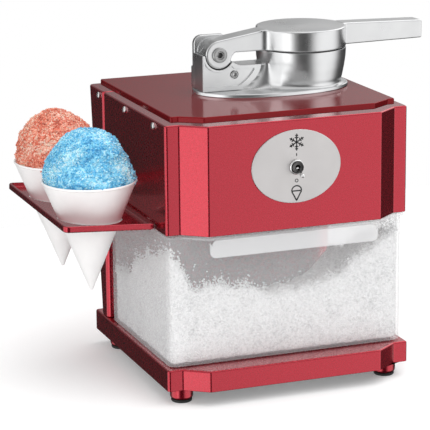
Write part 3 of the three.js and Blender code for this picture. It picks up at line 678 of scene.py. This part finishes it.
def make_holder(cones):
    """A shallow tray with an upturned lip, a little higher at its outer edge."""
    box = Box("cone_holder")
    y0, y1 = box.y0, box.y1
    tray = prism(rectangle(-HOLDER_WIDTH, 0, y0, y1), 6, -HOLDER_HEIGHT, 0, top=1.1, bottom=1.2)
    hollow = prism(rectangle(-HOLDER_WIDTH + HOLDER_WALL, -HOLDER_WALL, y0 + HOLDER_WALL, y1 - HOLDER_WALL),
                   4, HOLDER_FLOOR - HOLDER_HEIGHT, 5, top=0.1, bottom=1.2)
    tray = carved(tray, hollow)
    for cone in cones:
        x = cone.x - HOLDER_EDGE.x
        tray = carved(tray, rod(HOLDER_HOLE_R, (x, cone.y, -20), (x, cone.y, 5), 72))
    tilt = at(*HOLDER_EDGE) @ spun(HOLDER_TILT, "Y")
    stand_in("cone_holder", moved(tray, tilt), RED)


CONE_WALL = 1.2


def make_cone(cone, node, body):
    """A thin moulded cup: rolled rim, straight sides, rounded tip."""
    radius = (cone.x1 - cone.x0) / 2 - 0.8
    tip, rim = cone.z0, cone.z1 - 2.2
    outside = [(0, tip), (1.4, tip + 0.4), (radius - 0.2, rim - 0.6), (radius + 0.8, rim),
               (radius + 0.8, rim + 1.4), (radius - 0.1, rim + 2.1), (radius - CONE_WALL, rim + 0.8),
               (1.2, tip + 5), (0, tip + 4.4)]
    cup = turned(rounded(outside, 0.9, 5), cone.x, cone.y, 96)
    stand_in(node, cup, CONE, 50, body).visible_glossy = False


GRAIN_SEED = 7


def grain_cloud(spots, low, high, seed):
    """Rough little eight-sided crystals of different sizes, one at each spot."""
    chance = random.Random(seed)
    model = bmesh.new()
    bmesh.ops.create_uvsphere(model, u_segments=4, v_segments=2, radius=1)
    corners = [v.co.copy() for v in model.verts]
    faces = [[v.index for v in f.verts] for f in model.faces]
    model.free()
    points, polygons = [], []
    for spot in spots:
        size = chance.uniform(low, high)
        turn = Matrix.Rotation(chance.uniform(0, 6.3), 3, "Z")
        turn = turn @ Matrix.Rotation(chance.uniform(0, 6.3), 3, "X")
        shape = Vector((chance.uniform(0.7, 1.3), chance.uniform(0.7, 1.3), chance.uniform(0.6, 1.1)))
        start = len(points)
        for corner in corners:
            rough = corner * chance.uniform(0.8, 1.15)
            points.append(spot + turn @ (rough * shape) * size)
        polygons += [[start + i for i in face] for face in faces]
    mesh = bpy.data.meshes.new("grains")
    mesh.from_pydata(points, [], polygons)
    bm = bmesh.new()
    bm.from_mesh(mesh)
    bpy.data.meshes.remove(mesh)
    return bm


def interpolate(table, x):
    """Height at x on a line through the (x, height) points."""
    if x <= table[0][0]:
        return table[0][1]
    for (xa, a), (xb, b) in zip(table, table[1:]):
        if x <= xb:
            return a + (b - a) * (x - xa) / (xb - xa)
    return table[-1][1]


DOME_GRAINS, DOME_TOP_GRAINS, DOME_STEPS, DOME_LEVELS = 5200, 320, 96, 40


def make_dome(name, cone, body, material, profile, seed, lean):
    """A heap of coarse coloured ice on a cone. The profile is (height above the rim, radius)."""
    rim = cone.z1
    chance = random.Random(seed)
    offset = Vector((chance.uniform(0, 90), chance.uniform(0, 90), chance.uniform(0, 90)))
    top = profile[-1][0]

    def skin(height, angle):
        radius = interpolate(profile, height)
        x, y = cos(angle), sin(angle)
        lump = noise.noise(Vector((x * 1.6, y * 1.6, height / 16)) + offset) * 3.4
        lump += noise.noise(Vector((x * 5, y * 5, height / 6)) + offset) * 1.6
        radius = max(radius + lump * min(1, radius / 12), 0)
        shift = lean * max(height, 0) / top
        return Vector((cone.x + radius * x + shift.x, cone.y + radius * y + shift.y, rim + height))

    heights = [-9 + (top + 8.5) * i / DOME_LEVELS for i in range(DOME_LEVELS + 1)]
    core = loft([[skin(height, 2 * pi * i / DOME_STEPS) for i in range(DOME_STEPS)]
                 for height in heights])
    spots = []
    while len(spots) < DOME_GRAINS:
        height = chance.uniform(-3.5, top)
        radius = interpolate(profile, height)
        if chance.uniform(0, 44) > radius + 7:
            continue
        angle = chance.uniform(0, 2 * pi)
        centre = Vector((cone.x, cone.y, rim + height))
        spots.append(skin(height, angle).lerp(centre, chance.uniform(-0.012, 0.03)))
    for _ in range(DOME_TOP_GRAINS):
        angle = chance.uniform(0, 2 * pi)
        spread = sqrt(chance.random())
        spot = skin(top - 1.5, angle)
        middle = Vector((cone.x + lean.x, cone.y + lean.y, spot.z))
        spots.append(middle.lerp(spot, spread))
    place(name + "_core", core, material, body, sharp=80).visible_glossy = False
    grains = place(name + "_grains", grain_cloud(spots, 0.8, 1.7, seed + 1), material, body, sharp=20)
    grains.visible_glossy = False


FRONT_DOME = [(-9, 38), (-3, 42.5), (0, 43.2), (6, 42.2), (12, 40.2), (20, 37.4), (28, 34), (35, 29.5),
              (40, 24.8), (44.5, 18.5), (47.5, 11), (49, 3)]
REAR_DOME = [(-9, 38), (-3, 42.5), (0, 43), (6, 42.5), (12, 41), (20, 38), (28, 34), (35, 28.5), (41, 22),
             (46, 15), (49.5, 8), (51, 2.5)]


# ---- ice bin --------------------------------------------------------------------------------
BIN_HALF, BIN_FRONT_Y, BIN_REAR_Y = 122.5, 20.5, 198
BIN_CORNER, BIN_WALL, BIN_FLOOR, BIN_RIM_T = 9, 3, 1.6, 2.6
LIP_HALF, LIP_DROP, LIP_WALL = 87, 20, 2.6


def make_bin():
    """A clear drawer: thin walls, a rim that follows the body's plan, and a pull lip in front."""
    plan = rectangle(-BIN_HALF, BIN_HALF, BIN_FRONT_Y, BIN_REAR_Y)
    top = BIN.z1 - 0.6
    section = [(BIN_WALL + inset, BIN.z0 + BIN_FLOOR + drop) for inset, drop in reversed(fold(1.5))]
    section += [(BIN_WALL, top - 0.5), (BIN_WALL * 0.6, top), (BIN_WALL * 0.4, top), (0, top - 0.5)]
    section += [(inset, BIN.z0 + drop) for inset, drop in fold(2.0)]
    walls = stacked(section, lambda inset: outline(plan, BIN_CORNER, inset, 8))
    rim_plan = stepped(BIN, 12.6, 22.6, 18.2, BIN_REAR_Y)
    rim = prism(rim_plan, 5, BIN.z1 - BIN_RIM_T, BIN.z1, top=1.0, bottom=0.8)
    mouth = outline(plan, BIN_CORNER, BIN_WALL - 0.2, 8)
    rim = carved(rim, stacked([(0, BIN.z1 - 9), (0, BIN.z1 + 5)], lambda inset: mouth))
    low = BIN.z1 - LIP_DROP
    under_rim = BIN.z1 - BIN_RIM_T - 0.2
    lip_shape = [(-LIP_HALF - 3, under_rim), (-LIP_HALF, BIN.z1 - 7), (-LIP_HALF, low),
                 (LIP_HALF, low), (LIP_HALF, BIN.z1 - 7), (LIP_HALF + 3, under_rim)]
    lip = slab(lip_shape, 5.5, BIN.y0, BIN.y0 + LIP_WALL, 0.9, 0.6)
    stand_in("ice_bin", carved(walls, rim, "UNION"), CLEAR, 40, "bin")
    place("bin_pull_lip", lip, FROSTED, "bin", ["ice_bin"], 40)


FRONT_HEIGHTS = [(-120, 158), (-107, 141), (-98, 118), (-89, 111), (-80, 119), (-50, 117), (-28, 109),
                 (-6, 102), (9, 101), (15, 109), (38, 111), (60, 118), (74, 133), (90, 146), (120, 155)]
SIDE_HEIGHTS = [(23, 158), (54, 146), (80, 139), (105, 130), (122, 123), (138, 112), (150, 100), (199, 94)]
MIDDLE_HEIGHT = 50
ICE_GAP, TOP_GRAINS, WALL_GRAINS, FROST_GRAINS = 0.7, 5000, 15000, 4200


def ice_height(x, y):
    """Level of the shaved ice: banked up against the front and the sides, low in the middle."""
    inside = BIN_HALF - BIN_WALL
    near = [
        (MIDDLE_HEIGHT, 1 / 20 ** 2),
        (interpolate(FRONT_HEIGHTS, x), 1 / (y - BIN_FRONT_Y - BIN_WALL + 5) ** 2),
        (interpolate(SIDE_HEIGHTS, y), 1 / (x + inside + 5) ** 2),
        (interpolate(SIDE_HEIGHTS, y) + 4, 1 / (inside - x + 5) ** 2),
    ]
    level = sum(height * weight for height, weight in near) / sum(weight for _, weight in near)
    spot = Vector((x, y, 0))
    level += noise.noise(spot / 17) * 5.5 + noise.noise(spot / 7) * 3 + noise.noise(spot / 3.1) * 1.4
    return min(level, BIN.z1 - 7)


def make_ice():
    inset = BIN_WALL + ICE_GAP
    x0, x1, y0, y1 = -BIN_HALF + inset, BIN_HALF - inset, BIN_FRONT_Y + inset, BIN_REAR_Y - inset
    floor_z = BIN.z0 + BIN_FLOOR + 0.3
    nx, ny = 150, 108
    bm = bmesh.new()
    grid = [[bm.verts.new((x, y, ice_height(x, y)))
             for x in [x0 + (x1 - x0) * i / nx for i in range(nx + 1)]]
            for y in [y0 + (y1 - y0) * j / ny for j in range(ny + 1)]]
    for j in range(ny):
        for i in range(nx):
            bm.faces.new((grid[j][i], grid[j][i + 1], grid[j + 1][i + 1], grid[j + 1][i]))
    edge = grid[0][:] + [row[-1] for row in grid[1:]] + grid[-1][-2::-1] + [row[0] for row in grid[-2:0:-1]]
    feet = [bm.verts.new((v.co.x, v.co.y, floor_z)) for v in edge]
    for i in range(len(edge)):
        j = (i + 1) % len(edge)
        bm.faces.new((edge[j], edge[i], feet[i], feet[j]))
    bm.faces.new(list(reversed(feet)))
    bmesh.ops.recalc_face_normals(bm, faces=bm.faces)
    keep = prism(rectangle(x0, x1, y0, y1), BIN_CORNER - inset, floor_z, BIN.z1 + 20, top=0.5, bottom=1.5)
    heap = cast(carved(bm, keep, "INTERSECT"), 1.5, 1)
    heap.normal_update()
    for vert in heap.verts:
        rough = noise.noise(vert.co / 5) * 0.3 + noise.noise(vert.co / 2.2) * 0.8
        vert.co -= vert.normal * max(rough + 0.5, 0)
    chance = random.Random(GRAIN_SEED)
    spots = []
    tops = [f for f in heap.faces if f.normal.z > 0.2]
    sides = [f for f in heap.faces if abs(f.normal.z) < 0.5 and f.normal.y < 0.5
             and f.calc_center_median().z > floor_z + 1]
    for face in chance.sample(tops, min(TOP_GRAINS, len(tops))):
        spots.append(face.calc_center_median() + face.normal * chance.uniform(-0.2, 0.8))
    for face in chance.sample(sides, min(WALL_GRAINS, len(sides))):
        spots.append(face.calc_center_median() - face.normal * chance.uniform(-0.5, 0.4))
    for _ in range(FROST_GRAINS):
        x, y = chance.uniform(x0, x1), chance.uniform(y0, y1)
        wall = chance.choice("fffrll")
        if wall == "f":
            y = y0 + 0.5
        elif wall == "r":
            x = x1 - 0.5
        else:
            x = x0 + 0.5
        spots.append(Vector((x, y, min(ice_height(x, y) - 2 + chance.expovariate(1 / 3.2), BIN.z1 - 8))))
    place("shaved_ice_heap", heap, WHITE_ICE, "bin", sharp=80)
    place("shaved_ice_grains", grain_cloud(spots, 0.45, 1.15, GRAIN_SEED), WHITE_ICE, "bin", sharp=20)


# ---- cast hopper, bracket and lever ---------------------------------------------------------
FLANGE_A, FLANGE_B, FLANGE_X = 80.5, 48, 26
FLANGE_T = 3.4
FLANGE_Z0 = PLATE.z1 + 0.3
FLANGE_Z1 = FLANGE_Z0 + FLANGE_T
SEAM_Z = 321
BOWL_R_TOP = 45.15
PIVOT = Vector((-34.8, 320))
HUB_R = 14
ARM_Y0, ARM_Y1 = 109.5, 133
LID_TOP_Z = Box("lever_lid").z1
HANDLE_END_X = Box("lever_lid").x1
HANDLE_HALF_W, HANDLE_END_LOW, HANDLE_END_TOP = 10.5, 321.9, 340.2


def oval(x, y, a, b, power=2.0, steps=96):
    loop = []
    for i in range(steps):
        angle = 2 * pi * i / steps
        c, s = cos(angle), sin(angle)
        loop.append(Vector((x + a * copysign(abs(c) ** (2 / power), c),
                            y + b * copysign(abs(s) ** (2 / power), s))))
    return loop


def oval_plate(x, y, a, b, z0, z1, power=2.0, top=0.8, bottom=0.3, steps=96):
    return stacked(levels(z0, z1, top, bottom), lambda inset: oval(x, y, a - inset, b - inset, power, steps))


def arc(x, z, radius, start, end, steps=20):
    """Points on an arc, as (x, z) pairs; angles in degrees, 0 to the right and 90 up."""
    angles = [radians(start + (end - start) * i / steps) for i in range(steps + 1)]
    return [(x + radius * cos(a), z + radius * sin(a)) for a in angles]


BRACKET_X0, BRACKET_STEP_Z = Box("hinge_bracket").x0, 308.5
BRACKET_Z0 = FLANGE_Z1 + 0.2
BRACKET_FRONT = ARM_Y0 - 0.5
CHEEK_Y0, CHEEK_Y1 = ARM_Y1 + 0.6, 139.5
POCKET = 2.0
PIN_BORE_R = 4.3
BRACKET_SCREW = Vector((-18.9, 299.5))
RIDGE_FOOT_X, RIDGE_TOP_X = -11, 9


def ridge_x(z):
    """The curved end of the bracket's plate, where the bowl's side sweeps out to meet it."""
    share = min(max((z - BRACKET_Z0) / (BRACKET_STEP_Z - BRACKET_Z0), 0), 1)
    return RIDGE_FOOT_X + (RIDGE_TOP_X - RIDGE_FOOT_X) * sin(pi / 2 * share) ** 0.8


def soft_max(a, b, softness):
    return (a + b + sqrt((a - b) ** 2 + softness ** 2)) / 2


def bowl_reach(angle, z):
    """The bowl's outside, as a distance from its axis: flared, and running into the bracket's plate."""
    share = (z - FLANGE_Z1) / (SEAM_Z - FLANGE_Z1)
    radius = interpolate([(0, 38.4), (0.2, 41.2), (0.5, 43.4), (0.75, 44.7), (1, BOWL_R_TOP)], share)
    foot = 5.5
    if z < FLANGE_Z1 + foot:
        radius += foot * (1 - sqrt(1 - (1 - (z - FLANGE_Z1) / foot) ** 2))
    sideways, ahead = cos(angle), sin(angle)
    if z > BRACKET_STEP_Z or sideways > -0.3:
        return radius
    drop = 1 - (z - FLANGE_Z1) / (BRACKET_STEP_Z - FLANGE_Z1)
    depth = BOWL.y - BRACKET_FRONT - 0.5 if ahead < 0 else CHEEK_Y0 - BOWL.y
    side = depth / max(abs(ahead), 1e-3)
    end = (BOWL.x - ridge_x(z) - 0.3) / -sideways
    fade = min((-sideways - 0.3) / 0.45, 1)
    return soft_max(radius, min(side, end), fade * (3 + 18 * drop ** 1.2)) if side < 140 else end


def around_bowl(reach, z, steps=240):
    """A level loop round the bowl's axis, where reach(angle) is its distance from the axis."""
    angles = [2 * pi * i / steps for i in range(steps)]
    return [Vector((BOWL.x + reach(a) * cos(a), BOWL.y + reach(a) * sin(a), z)) for a in angles]


def make_hopper():
    """An oval flange with a flared bowl on it, and a neck down to the blades."""
    base = FLANGE_Z1 + 0.02
    heights = [base + 5.5 * (i / 8) ** 2 for i in range(9)]
    heights += [heights[-1] + (BRACKET_STEP_Z - 0.6 - heights[-1]) * i / 12 for i in range(1, 13)]
    heights += [BRACKET_STEP_Z - 0.15, BRACKET_STEP_Z, BRACKET_STEP_Z + 0.01]
    top = SEAM_Z - 0.4
    heights += [BRACKET_STEP_Z + (top - 0.8 - BRACKET_STEP_Z) * i / 5 for i in range(1, 6)]
    inside = [(BOWL_R_TOP - 0.3, top - 0.2), (BOWL_R_TOP - 0.9, top), (BOWL_R_TOP - 2.2, top),
              (BOWL_R_TOP - 2.8, top - 0.6), (40.6, 306), (36.8, 292), (26, FLANGE_Z0 + 2), (26, HOPPER.z0),
              (29, HOPPER.z0), (29, FLANGE_Z0 + 0.6), (37, FLANGE_Z0 + 0.6), (38.4, FLANGE_Z1 - 0.6)]
    loops = [around_bowl(lambda angle: bowl_reach(angle, z), z) for z in heights]
    loops += [around_bowl(lambda angle: radius, z) for radius, z in inside]
    flange = oval_plate(FLANGE_X, BOWL.y + 2, FLANGE_A, FLANGE_B, FLANGE_Z0, FLANGE_Z1, 2.2, 1.1, 0.3, 160)
    flange = carved(flange, rod(28, (*BOWL, FLANGE_Z0 - 5), (*BOWL, FLANGE_Z1 + 5), 64))
    stand_in("hopper", joined(loft(loops, ring=True), flange), CAST, 40)


def make_bracket():
    """A plate with a raised edge round a sunk panel; a second cheek stands behind the arm."""
    x, z = PIVOT
    saddle = arc(x, z, HUB_R + 0.8, 180, 333, 28)
    climb = [BRACKET_Z0 + (BRACKET_STEP_Z - BRACKET_Z0) * i / 12 for i in range(13)]
    shape = [(BRACKET_X0, BRACKET_Z0)] + [(ridge_x(h), h) for h in climb]
    shape += [(-12, BRACKET_STEP_Z), (-17, BRACKET_STEP_Z + 1.4)] + saddle[::-1] + [(BRACKET_X0, z)]
    web = slab(shape, 0.5, BRACKET_FRONT, CHEEK_Y0 + 1, 0.6, 0.5, 2)
    edge, ridge = 3.0, 4.6
    floor_z, roof_z = BRACKET_Z0 + 4.2, BRACKET_STEP_Z - 3.4
    sunk = [(BRACKET_X0 + edge, floor_z)]
    sunk += [(ridge_x(floor_z - 4 + (roof_z - floor_z) * i / 10) - ridge,
              floor_z + (roof_z - floor_z) * i / 10) for i in range(11)]
    sunk += [(-14, roof_z), (-19.5, roof_z + 0.9)] + arc(x, z, HUB_R + 3, 190, 318, 18)[::-1]
    pocket = slab(sunk, 0.8, BRACKET_FRONT - 5, BRACKET_FRONT + POCKET, 0.1, 0.6, 2)
    web = carved(web, pocket)
    web = carved(web, rod(4.4, (BRACKET_SCREW.x, BRACKET_FRONT - 3, BRACKET_SCREW.y),
                          (BRACKET_SCREW.x, BRACKET_FRONT + POCKET + 1.6, BRACKET_SCREW.y), 40, 0.1))
    cheek = [(BRACKET_X0, BRACKET_Z0), (-20, BRACKET_Z0), (-24, z - 9)]
    cheek += [(x + 11 + 4 * cos(a), 332 + 5 * sin(a)) for a in (0.2, 0.7, 1.2)]
    cheek += arc(-44, 328.5, 8.4, 90, 180, 8)
    rear = slab(cheek, 0.6, CHEEK_Y0, CHEEK_Y1, 1.2, 1.2, 2)
    rear = carved(rear, rod(PIN_BORE_R, (x, CHEEK_Y0 - 4, z), (x, CHEEK_Y1 + 4, z), 40, 0.1))
    foot = block(BRACKET_X0, -22, CHEEK_Y1 - 3, CHEEK_Y1 + 4, BRACKET_Z0, 306, 1.5)
    stand_in("hinge_bracket", joined(web, rear, foot), CAST, 40)


def socket_head(radius, height, hexagon, shank, length):
    """A round-headed screw with a hexagon socket in a turned recess."""
    profile = rounded([(0, -length), (shank, -length), (shank, 0), (radius, 0), (radius, height * 0.6),
                       (radius * 0.84, height), (radius * 0.56, height), (radius * 0.5, height * 0.5),
                       (0, height * 0.5)], height * 0.15, 3)
    socket = turned([(0, -2 * height), (hexagon, -2 * height), (hexagon, height + 2), (0, height + 2)],
                    steps=6)
    return carved(turned(profile, steps=64), socket)


def make_hinge():
    x, z = PIVOT
    head = socket_head(7.5, 2.3, 3.3, 4, CHEEK_Y1 + 8 - ARM_Y0)
    stand_in("hinge_pin", moved(head, facing(x, ARM_Y0 - 0.3, z)), DULL_STEEL, 30)
    nut = rounded([(4.2, 0.3), (6.2, 0.3), (7.0, 1.1), (7.0, 4.4), (6.2, 5.4), (4.2, 5.4)], 0.3)
    nut = moved(turned(nut, steps=6), facing(x, Box("hinge_nut").y1, z))
    stand_in("hinge_nut", nut, STEEL, 25)
    screw = socket_head(3.7, 1.6, 1.7, 1.6, 7)
    spot = facing(BRACKET_SCREW.x, BRACKET_FRONT + POCKET + 0.4, BRACKET_SCREW.y)
    stand_in("bracket_screw", moved(screw, spot), DULL_STEEL, 30)


def make_lever():
    """The lid: a hub on the hinge pin, an arm, a round plate over the bowl and a handle."""
    x, z = PIVOT
    under = SEAM_Z + 0.3
    top = LID_TOP_Z - 0.9
    arm = [(x + HUB_R - 2.4, z - 7), (x + HUB_R - 0.8, z - 2.4), (x + HUB_R + 2.2, under), (16.8, under),
           (16.8, top - 8), (30, top - 8), (30, top), (14, top)] + arc(x, z, HUB_R, 98, 330, 40)
    arm = slab(arm, 0.6, ARM_Y0, ARM_Y1, 1.3, 1.3, 2)
    rim = rounded([(0, under), (BOWL_R_TOP, under), (BOWL_R_TOP, top), (0, LID_TOP_Z - 0.2)], 1.5, 6)
    plate = turned(rim, *BOWL, steps=128)
    reach = BOWL.x + BOWL_R_TOP
    handle = [(reach - 4, SEAM_Z - 0.4), (HANDLE_END_X, HANDLE_END_LOW), (HANDLE_END_X, HANDLE_END_TOP),
              (reach + 4, top + 0.6), (reach - 4, top + 0.6)]
    grip = slab(handle, 1.6, BOWL.y - HANDLE_HALF_W, BOWL.y + HANDLE_HALF_W, 1.5, 1.5, 4)
    plate = carved(plate, rod(BOWL_R_TOP - 6, (*BOWL, SEAM_Z - 5), (*BOWL, SEAM_Z + 6), 96))
    arm = carved(arm, rod(PIN_BORE_R, (x, 100, z), (x, 150, z), 40, 0.1))
    sweep = arc(9.1, 99.5, 10, 90, 27.6, 8)
    sweep = prism(sweep[::-1] + [(9.1, 113), (24, 113)], 0.1, under, top - 0.3, 1.2, 0.3, 1)
    solid = cast(joined(arm, plate, grip, sweep), 0.62, 6)
    stand_in("lever_lid", solid, CAST, 50, "lever")
    low = Box("pusher_plate").z0
    ribs = []
    for ring in (8, 16, 24, 31):
        ribs += [(ring - 1.6, low + 1.4), (ring - 0.8, low), (ring + 0.8, low), (ring + 1.6, low + 1.4)]
    pusher = [(0, low + 1.4)] + ribs + [(34, low + 1.4), (34, low + 4), (33, low + 4.8), (10, low + 4.8),
                                        (9, low + 6), (9, SEAM_Z + 5.5), (0, SEAM_Z + 5.5)]
    stand_in("pusher_plate", turned(pusher, *BOWL, steps=72), STEEL, 25, "lever")


# ---- badge and toggle -----------------------------------------------------------------------
INK_T = 0.12


def make_badge():
    box = Box("badge")
    a, b = (box.x1 - box.x0) / 2, (box.z1 - box.z0) / 2
    plate = oval_plate(0, 0, a, b, 0, box.y1 - box.y0, top=0.5, bottom=0.1)
    plate = moved(plate, facing(box.x, box.y1, box.z))
    plate = carved(plate, rod(TOGGLE_HOLE_R, (0, -8, TOGGLE_Z), (0, 4, TOGGLE_Z)))
    stand_in("badge", plate, BADGE, 40)
    front = box.y0
    bar = slab(rectangle(-0.45, 0.45, TOGGLE_Z + 10.4, TOGGLE_Z + 13.4), 0.3, front - INK_T, front + 0.3,
               0.05, 0.02)
    ring = turned([(1.1, 0), (1.8, 0), (1.8, INK_T + 0.3), (1.1, INK_T + 0.3)], steps=32)
    ring = moved(ring, facing(0, front + 0.3, TOGGLE_Z - 13.2))
    place("switch_marks", joined(bar, ring), INK, sharp=30)
    place("snowflake_mark", snowflake(front, TOGGLE_Z + 24, 8.2), INK, sharp=30)
    place("cone_mark", cone_sign(front, TOGGLE_Z - 24, 14), INK, sharp=30)


def stroke(start, end, width, front):
    """A thin printed line on the badge, from one (x, z) to another."""
    start, end = Vector(start), Vector(end)
    side = Vector((end.y - start.y, start.x - end.x)).normalized() * width / 2
    points = [tuple(p) for p in (start + side, end + side, end - side, start - side)]
    return slab(points, width * 0.2, front - INK_T, front + 0.3, 0.04, 0.02, 2)


def snowflake(front, z, reach):
    """A plain six-armed snowflake."""
    lines = []
    middle = Vector((0, z))
    for index in range(6):
        angle = radians(90 + 60 * index)
        out = Vector((cos(angle), sin(angle)))
        lines.append(stroke(middle, middle + out * reach, 1.2, front))
        for share, size in ((0.45, 2.2), (0.72, 1.7)):
            for turn in (-1, 1):
                branch = Vector((cos(angle + turn * 1.05), sin(angle + turn * 1.05)))
                root = middle + out * reach * share
                lines.append(stroke(root, root + branch * size, 1.0, front))
    return joined(*lines)


def cone_sign(front, z, height):
    """A plain outline of a filled paper cone."""
    half = height * 0.36
    dome = [Vector((half * c, z + 1 + half * 0.95 * s)) for c, s in arc(0, 0, 1, 0, 180, 10)]
    lines = list(zip(dome, dome[1:]))
    tip = (0, z - height * 0.62)
    lines += [((-half - 0.3, z + 0.8), (half + 0.3, z + 0.8)), ((-half, z + 0.6), tip),
              ((half, z + 0.6), tip)]
    return joined(*[stroke(a, b, 1.3, front) for a, b in lines])


TOGGLE_REST_TILT = 16


def make_toggle():
    nut = Box("toggle_nut")
    radius = (nut.x1 - nut.x0) / 2
    teeth = 32
    loops = []
    edge = [(6.0, 0), (radius - 0.8, 0), (radius, 0.6), (radius, 1.3), (radius - 0.9, 2.0), (6.3, 2.0),
            (6.0, 1.7)]
    for r, y in edge:
        loop = []
        for i in range(teeth * 4):
            angle = 2 * pi * i / (teeth * 4)
            out = r - (0.3 if r == radius and i % 4 in (0, 1) else 0)
            loop.append(Vector((out * cos(angle), nut.y1 - y, TOGGLE_Z + out * sin(angle))))
        loops.append(loop)
    stand_in("toggle_nut", loft(loops, ring=True), CHROME, 25)
    sleeve = Box("toggle_bushing")
    depth = sleeve.y1 - sleeve.y0
    profile = [(2.7, 0), (5.8, 0)]
    thread = 0.35
    z = depth - 4.4
    while z < depth - 0.9:
        profile += [(5.45, z), (5.8, z + thread / 2)]
        z += thread
    profile += [(5.8, depth - 0.7), (5.4, depth), (3.2, depth - 0.5), (2.7, depth - 1.2)]
    bushing = turned(profile, steps=48)
    bushing = moved(bushing, facing(0, sleeve.y1, TOGGLE_Z))
    stand_in("toggle_bushing", bushing, GUNMETAL, 30)
    bat = turned(rounded([(0, -1.2), (1.0, -0.6), (1.15, 3), (2.5, 4.6), (2.5, 6.8), (1.3, 8), (1.3, 10),
                          (1.9, 18), (2.0, 20.4), (1.3, 21.9), (0, 22)], 1.0, 6), steps=40)
    tilt = at(0, 3, TOGGLE_Z) @ spun(90 + TOGGLE_REST_TILT, "X")
    stand_in("toggle_lever", moved(bat, tilt), CHROME, 50, "switch_lever")


# ---- screws and rear cover ------------------------------------------------------------------
def make_side_screws():
    model = pan_head(3.4, 2.0, 1.7, 7)
    for side, sign in (("left", -1), ("right", 1)):
        for index in (1, 2, 3):
            node = f"side_screw_{side}_{index}"
            box = Box(node)
            spot = at(sign * (HOUSING.x1 + 0.3), box.y, box.z) @ spun(sign * 90, "Y")
            screw = moved(model.copy(), spot @ Matrix.Rotation(index * 0.7, 4, "Z"))
            stand_in(node, screw, STEEL, 30)
    model.free()


COVER_HALF_W, COVER_HALF_H = 112, 103
COVER_MID_Z = 157
GLAND = Vector((-70, -86))


def make_rear_cover():
    """The vented cover lies on the leaning back, with four screws and the cord's gland."""
    on_back = at(0, column_back(COVER_MID_Z), COVER_MID_Z) @ Matrix.Rotation(-LEAN, 4, "X")
    sheet = slab(rectangle(-COVER_HALF_W, COVER_HALF_W, -COVER_HALF_H, COVER_HALF_H), 6, 0.3, 2.3, 0.2, 0.9)
    slots = []
    for z in (26, 60):
        for i in range(-4, 5):
            slots.append(slab(rectangle(i * 14 - 2.2, i * 14 + 2.2, z - 13, z + 13), 2.1, -4, 9, 0.1, 0.1))
    slots.append(rod(6.5, (GLAND.x, -5, GLAND.y), (GLAND.x, 10, GLAND.y)))
    sheet = carved(sheet, joined(*slots))
    stand_in("rear_cover", moved(sheet, on_back), RED_SATIN)
    gland = rounded([(3.6, -3), (6.1, -3), (6.1, 2.6), (9, 2.6), (9, 6.5), (7.4, 8), (3.6, 8)], 0.8)
    gland = moved(turned(gland, steps=48), at(GLAND.x, 0, GLAND.y) @ spun(-90, "X"))
    stand_in("cord_gland", moved(gland, on_back), BLACK, 40)
    model = pan_head(3.0, 2.0, 1.4, 2)
    corners = (("top_left", -1, 1), ("top_right", 1, 1), ("bottom_left", -1, -1), ("bottom_right", 1, -1))
    for index, (name, sx, sz) in enumerate(corners):
        spot = at(sx * (COVER_HALF_W - 4), 2.6, sz * (COVER_HALF_H - 7)) @ spun(-90, "X")
        screw = moved(model.copy(), on_back @ spot @ Matrix.Rotation(index * 0.8, 4, "Z"))
        stand_in("cover_screw_" + name, screw, STEEL, 30)
    model.free()


CONES = {"front": Box("cone_front"), "rear": Box("cone_rear")}

make_camera()
make_floor()
make_lights()
make_feet()
make_base()
make_housing()
make_column()
make_holder(CONES.values())
for side, cone in CONES.items():
    make_cone(cone, "cone_" + side, side + "_cone")
make_dome("blue_ice", CONES["front"], "front_cone", BLUE_ICE, FRONT_DOME, 21, Vector((-1.5, 0)))
make_dome("coral_ice", CONES["rear"], "rear_cone", CORAL_ICE, REAR_DOME, 34, Vector((-5, 0)))
make_bin()
make_ice()
make_hopper()
make_bracket()
make_hinge()
make_lever()
make_badge()
make_toggle()
make_side_screws()
make_rear_cover()

CAD_LOOKS = {
    WHITE: ["housing_floor", "discharge_chute"], BLACK: ["switch_body"], GREY: ["motor"],
    STEEL: ["blade_disc", "blade_1", "blade_2", "disc_nut", "drive_shaft", "motor_mount", "shaft_bearing",
            "holder_screw_1", "holder_screw_2"],
}
for material, names in CAD_LOOKS.items():
    for name in names:
        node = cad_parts[name]
        node.data.materials.clear()
        node.data.materials.append(material)
